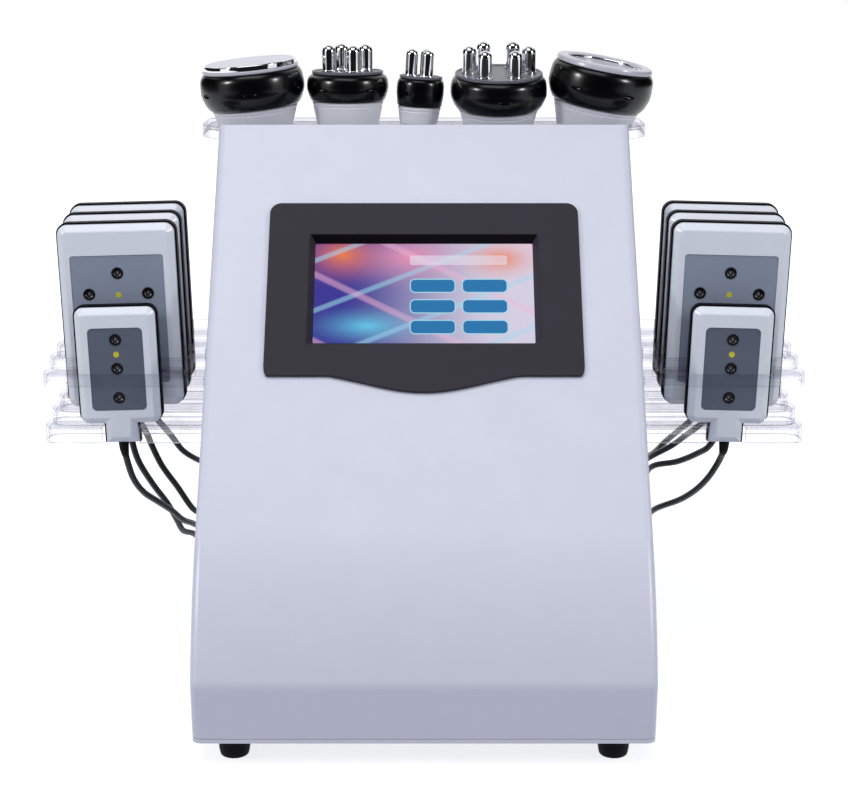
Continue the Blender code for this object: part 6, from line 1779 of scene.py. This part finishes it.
@dataclass
class LaserPads:
    """The eight laser pads, modelled once for each size and copied."""

    seam: float = 0.55
    border: float = 0.0015
    chamfer: float = 0.0052
    chamfer_depth: float = 0.0042
    plate_sink: float = 0.0006
    lens_radius: float = 0.0046

    def build(self) -> None:
        """Make the pieces of each pad size and stand them in the racks."""
        for shape, label in ((SMALL_PAD, "small"), (LARGE_PAD, "large")):
            patterns = self.make_patterns(shape, label)
            for pad in PAD_PLACES:
                if pad.shape is not shape:
                    continue
                for side in Side:
                    self.stand(patterns, pad, side)
            for pattern, _, _ in patterns:
                discard(pattern)

    def stand(self, patterns: list, pad: PadPlace, side: Side) -> None:
        """Copy the patterns of a pad to its place."""
        name = f"pad_{side.label}_{pad.name}"
        for index, (pattern, finish, label) in enumerate(patterns):
            piece = copied(pattern, f"{name}_{label}", pad.matrix(side))
            nodes = (name,) if index == 0 else ()
            dress(piece, finish.build(), f"{name}_body", "pad_moulding", *nodes)

    def outline(self, name: str, shape: PadShape, low: float, high: float, inset: float) -> Piece:
        """An upright slab of the pad's outline with its neck, at an inset that spares its foot."""
        half = (shape.width / 2 - inset, (shape.height - inset) / 2)
        slab = plate(name, half, [shape.corner - inset] * 4, low, high, (0, half[1]), 12)
        neck = shape.neck_width / 2 - inset
        for way in (-1, 1):
            with editing(slab, "VERT", whole=True):
                bpy.ops.mesh.bisect(plane_co=(way * neck, 0, 0), plane_no=(1, 0, 0))
        with editing(slab, "FACE"):
            pick_faces(slab, lambda centre, normal: normal.y < -0.9 and abs(centre.x) < neck)
            drop = -shape.neck_length + inset * 0.2
            bpy.ops.mesh.extrude_region_move(TRANSFORM_OT_translate={"value": (0, drop, 0)})
            bpy.ops.mesh.select_all(action="SELECT")
            bpy.ops.mesh.dissolve_limited(angle_limit=math.radians(1))
        return slab

    def round_rim(self, slab: Piece, level: float, width: float) -> None:
        """Round the rim of a slab at one level."""
        with editing(slab, "EDGE"):
            pick_edges(slab, lambda a, b: abs(a.z - level) < NEAR and abs(b.z - level) < NEAR)
            bpy.ops.mesh.bevel(offset=width, offset_type="OFFSET", segments=3, profile=0.5)

    def make_patterns(self, shape: PadShape, label: str) -> list:
        """The pieces of one pad size, each with its finish and its label."""
        seam = shape.thickness * self.seam
        back = self.outline(f"{label}_rear_shell", shape, 0.0, seam, 0.0)
        self.round_rim(back, 0.0, 0.0018)
        shade(back, 40)
        shoulder = shape.thickness - self.chamfer_depth
        front = self.outline(f"{label}_front_shell", shape, seam + 0.0004, shoulder, self.border)
        with editing(front, "FACE"):
            pick_faces(front, lambda centre, normal: normal.z > 0.9)
            bpy.ops.mesh.inset(thickness=self.chamfer, depth=self.chamfer_depth)
        self.round_rim(front, shoulder, 0.0007)
        self.round_rim(front, shape.thickness, 0.0009)
        low, high = shape.plate_low, shape.plate_high
        centre = ((low[0] + high[0]) / 2, (low[1] + high[1]) / 2)
        half = ((high[0] - low[0]) / 2, (high[1] - low[1]) / 2)
        level = shape.thickness - self.plate_sink
        corners = [shape.plate_corner] * 4
        cut(front, plate("plate_recess", half, corners, level - 0.0012, shape.thickness + 0.002, centre, 6))
        snug = (half[0] - 0.0002, half[1] - 0.0002)
        inlay = plate(f"{label}_plate", snug, corners, level - 0.0010, level, centre, 6)
        for x, y in shape.lenses:
            hole = turned("lens_hole", [(self.lens_radius - 0.0002, -0.006), (self.lens_radius - 0.0002, 0.006)], 40)
            hole.data.transform(Matrix.Translation((x, y, level)))
            cut(inlay, copied(hole, "inlay_hole", Matrix()))
            cut(front, hole)
        shade(front, 25)
        round_edges(inlay, 0.0002, 2)
        film = Finishes.large_plate if shape is LARGE_PAD else Finishes.small_plate
        patterns = [(front, Finishes.pad_shell, "front_shell"), (back, Finishes.pad_rear, "rear_shell"),
                    (inlay, film, "plate")]
        return patterns + self.make_lenses(shape, label, level)

    def make_lenses(self, shape: PadShape, label: str, level: float) -> list:
        """The lens cups, the lenses in them and the plain yellow dot."""
        radius = self.lens_radius
        bowl = stepped(radius, level, (
            (-0.0004, -0.0034), (-0.0004, 0), (0.0003, 0), (0.0003, 0.0003), (0, 0.0005), (-0.0006, 0.0004)))
        bowl += [
            ((radius - 0.0007) * math.cos(turn), level - 0.0026 * math.sin(turn))
            for turn in (math.pi / 2 * step / 8 for step in range(8))
        ]
        bowl.append((0.0011, level - 0.0026))
        cup = turned("lens_bowl", bowl, 40)
        shade(cup, 60)
        lens = turned("lens_dome", stepped(0, level, (
            (0.0017, -0.0028), (0.0017, -0.0022), (0.0013, -0.0016), (0.0007, -0.0013), (0.0002, -0.0012))), 24)
        shade(lens, 80)
        dot = turned("dot", [(0.0024, level - 0.0002), (0.0024, level + 0.00010), (0.0021, level + 0.00016)], 32)
        shade(dot)
        cups, lenses = [], []
        for index, (x, y) in enumerate(shape.lenses):
            shift = Matrix.Translation((x, y, 0))
            cups.append(copied(cup, f"{label}_cup_{index}", shift))
            lenses.append(copied(lens, f"{label}_lens_{index}", shift))
        dot.data.transform(Matrix.Translation((*shape.dot, 0)))
        discard(cup)
        discard(lens)
        return [(joined(f"{label}_lens_cups", cups), Finishes.lens_cup, "lens_cups"),
                (joined(f"{label}_lenses", lenses), Finishes.lens, "lenses"), (dot, Finishes.dot, "dot")]


# Rear panel and inside


@dataclass
class RearPanel:
    """The rear panel with its sockets, vents, mains inlet and switch."""

    thickness: float = 0.002
    half_width: float = 0.1692
    socket_places: tuple[float, ...] = (-0.112, -0.056, 0.0, 0.056, 0.112)
    socket_height: float = 0.300
    socket_radius: float = 0.011
    socket_bore: float = 0.007
    vent_place: tuple[float, float] = (0.085, 0.150)
    vent_slots: int = 7
    vent_pitch: float = 0.009
    inlet_place: tuple[float, float] = (-0.130, 0.075)
    height: float = 0.3867
    contacts: int = 8
    contact_circle: float = 0.0045
    screw_across: float = 0.160
    screw_heights: tuple[float, ...] = (0.034, 0.145, 0.255, 0.375)
    blade_shifts: tuple[tuple[float, float], ...] = ((-0.007, -0.0015), (0.007, -0.0015), (0.0, 0.0028))

    def build(self) -> None:
        """Make the panel and what is on it."""
        self.make_panel()
        self.make_sockets()
        self.make_screws()
        inlet = refined("mains_inlet", "iec_inlet", 0.0006)
        dress(inlet, Finishes.fan.build(), ROOT, "black_gloss", "mains_inlet")
        self.make_blades()
        rocker = refined("power_switch", "rocker_key", 0.0005)
        dress(rocker, Finishes.piano.build(), "rocker", "black_gloss", "power_switch")
        self.make_pad_socket()

    def make_panel(self) -> None:
        """The painted sheet, with round-ended vent slots and holes for what it carries."""
        low = (-self.half_width, PANEL_Y - self.thickness, SEAM_TOP)
        panel = block("painted_rear_panel", low, (self.half_width, PANEL_Y, self.height))
        cutters = []
        for index in range(self.vent_slots):
            height = self.vent_place[1] + (index - (self.vent_slots - 1) / 2) * self.vent_pitch
            slot = plate("vent_slot", (0.030, 0.00225), [0.0022] * 4, -0.01, 0.01, segments=6)
            cutters.append(settle(slot, rearward_matrix(self.vent_place[0], PANEL_Y, height)))
        hole = turned("plug_hole", [(0.0108, -0.01), (0.0108, 0.01)], 40)
        cutters.append(settle(hole, rearward_matrix(PLUG_X, PANEL_Y, PLUG_HEIGHT)))
        x, z = self.inlet_place
        cutters.append(block("inlet_hole", (x - 0.0133, 0.18, z - 0.0263), (x + 0.0133, 0.20, z + 0.0263)))
        for socket in self.socket_places:
            hole = turned("socket_hole", [(self.socket_bore + 0.0015, -0.01), (self.socket_bore + 0.0015, 0.01)], 40)
            cutters.append(settle(hole, rearward_matrix(socket, PANEL_Y, self.socket_height)))
        cut(panel, joined("panel_cutters", cutters))
        round_edges(panel, 0.0003, 2)
        dress(panel, Finishes.cover.build(), ROOT, "white_moulding", "rear_panel")

    def make_sockets(self) -> None:
        """A nickel ring, a black insert and eight contacts for each handpiece."""
        bore, edge = self.socket_bore, self.socket_radius
        profile = stepped(bore, 0, ((0, -0.0020), (0.0014, -0.0020), (0.0014, 0)))
        profile += stepped(edge, 0, ((0, 0), (0, 0.0022), (-0.0008, 0.0030)))
        profile += stepped(bore, 0, ((0.0008, 0.0030), (0, 0.0022)))
        ring = turned("socket_ring", profile, 64, closed=True)
        shade(ring, 40)
        insert = turned("socket_insert", stepped(bore, 0, ((0, -0.0030), (0, -0.0006), (-0.0004, -0.0002))), 48)
        shade(insert)
        contact = turned("contact", [(0.0006, -0.0004), (0.0006, 0.0012), (0.0003, 0.0016)], 12)
        shade(contact, 50)
        contacts = []
        for index in range(self.contacts):
            shift = around(self.contact_circle, math.tau * index / self.contacts)
            contacts.append(copied(contact, f"contact_{index}", Matrix.Translation(shift)))
        pattern = joined("contacts", contacts)
        for index, x in enumerate(self.socket_places, 1):
            place = rearward_matrix(x, PANEL_Y, self.socket_height)
            for source, label, finish, slot in (
                (ring, "ring", Finishes.nickel, "satin_metal"),
                (insert, "insert", Finishes.fan, "black_gloss"),
                (pattern, "contacts", Finishes.nickel, "satin_metal"),
            ):
                dress(copied(source, f"socket_{index}_{label}", place), finish.build(), ROOT, slot)
        for piece in (ring, insert, contact, pattern):
            discard(piece)

    def make_screws(self) -> None:
        """Pan-head screws with cross recesses round the panel's edge."""
        profile = [(0.0029, 0.0), (0.0029, 0.0005), (0.0024, 0.0013), (0.0012, 0.0018), (0.0004, 0.0019)]
        head = turned("screw_head", profile, 24)
        for x, y in ((0.0016, 0.0003), (0.0003, 0.0016)):
            cut(head, block("cross_recess", (-x, -y, 0.0008), (x, y, 0.003)))
        shade(head, 30)
        screws = []
        for side in Side:
            for z in self.screw_heights:
                place = rearward_matrix(side.value * self.screw_across, PANEL_Y, z)
                screws.append(copied(head, f"screw_{len(screws)}", place))
        discard(head)
        dress(joined("panel_screws", screws), Finishes.nickel.build(), ROOT, "satin_metal")

    def make_blades(self) -> None:
        """Three flat contact blades in the mains inlet."""
        x, z = self.inlet_place
        blades = []
        for index, (shift, rise) in enumerate(self.blade_shifts):
            low = (x + shift - 0.001, PANEL_Y - 0.0130, z - 0.013 + rise - 0.002)
            blade = block(f"blade_{index}", low, (x + shift + 0.001, PANEL_Y - 0.002, z - 0.013 + rise + 0.002))
            round_edges(blade, 0.0003, 2)
            blades.append(blade)
        dress(joined("inlet_blades", blades), Finishes.nickel.build(), ROOT, "satin_metal")

    def make_pad_socket(self) -> None:
        """The round socket of the pads' plug."""
        bore = 0.0073
        profile = [(bore, -0.012), (0.0105, -0.012), (0.0105, CLEARANCE), (0.0125, CLEARANCE), (0.0125, 0.0026),
                   (0.0118, 0.0035), (bore, 0.0035)]
        socket = turned("pad_socket_shell", profile, 64, closed=True)
        place = rearward_matrix(PLUG_X, PANEL_Y, PLUG_HEIGHT)
        set_in(socket, 40, place, Finishes.nickel.build(), ROOT, "satin_metal", "pad_socket")


@dataclass
class Inside:
    """What stands inside the housing, and keeps the model's own shape."""

    def build(self) -> None:
        """Give each inner node its finish."""
        for node, finish in (
            ("control_board", Finishes.board),
            ("power_supply", Finishes.zinc),
            ("vacuum_pump", Finishes.fan),
            ("cooling_fan", Finishes.fan),
            ("fan_rotor", Finishes.fan),
        ):
            found = bpy.data.objects[node]
            found.data.materials.clear()
            found.data.materials.append(finish.build())
            LOG.info("%s keeps its shape", node)


def main() -> None:
    """Build the camera and the cords first, then each sub-assembly."""
    logging.basicConfig(level=logging.INFO, format="%(name)s: %(message)s")
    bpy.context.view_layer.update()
    for part in (
        Studio(), Cords(), Housing(), HandpieceSet(), HandpieceRack(), SideRacks(), LaserPads(), RearPanel(), Inside(),
    ):
        LOG.info("building %s", type(part).__name__)
        part.build()


if __name__ == "__main__":
    main()
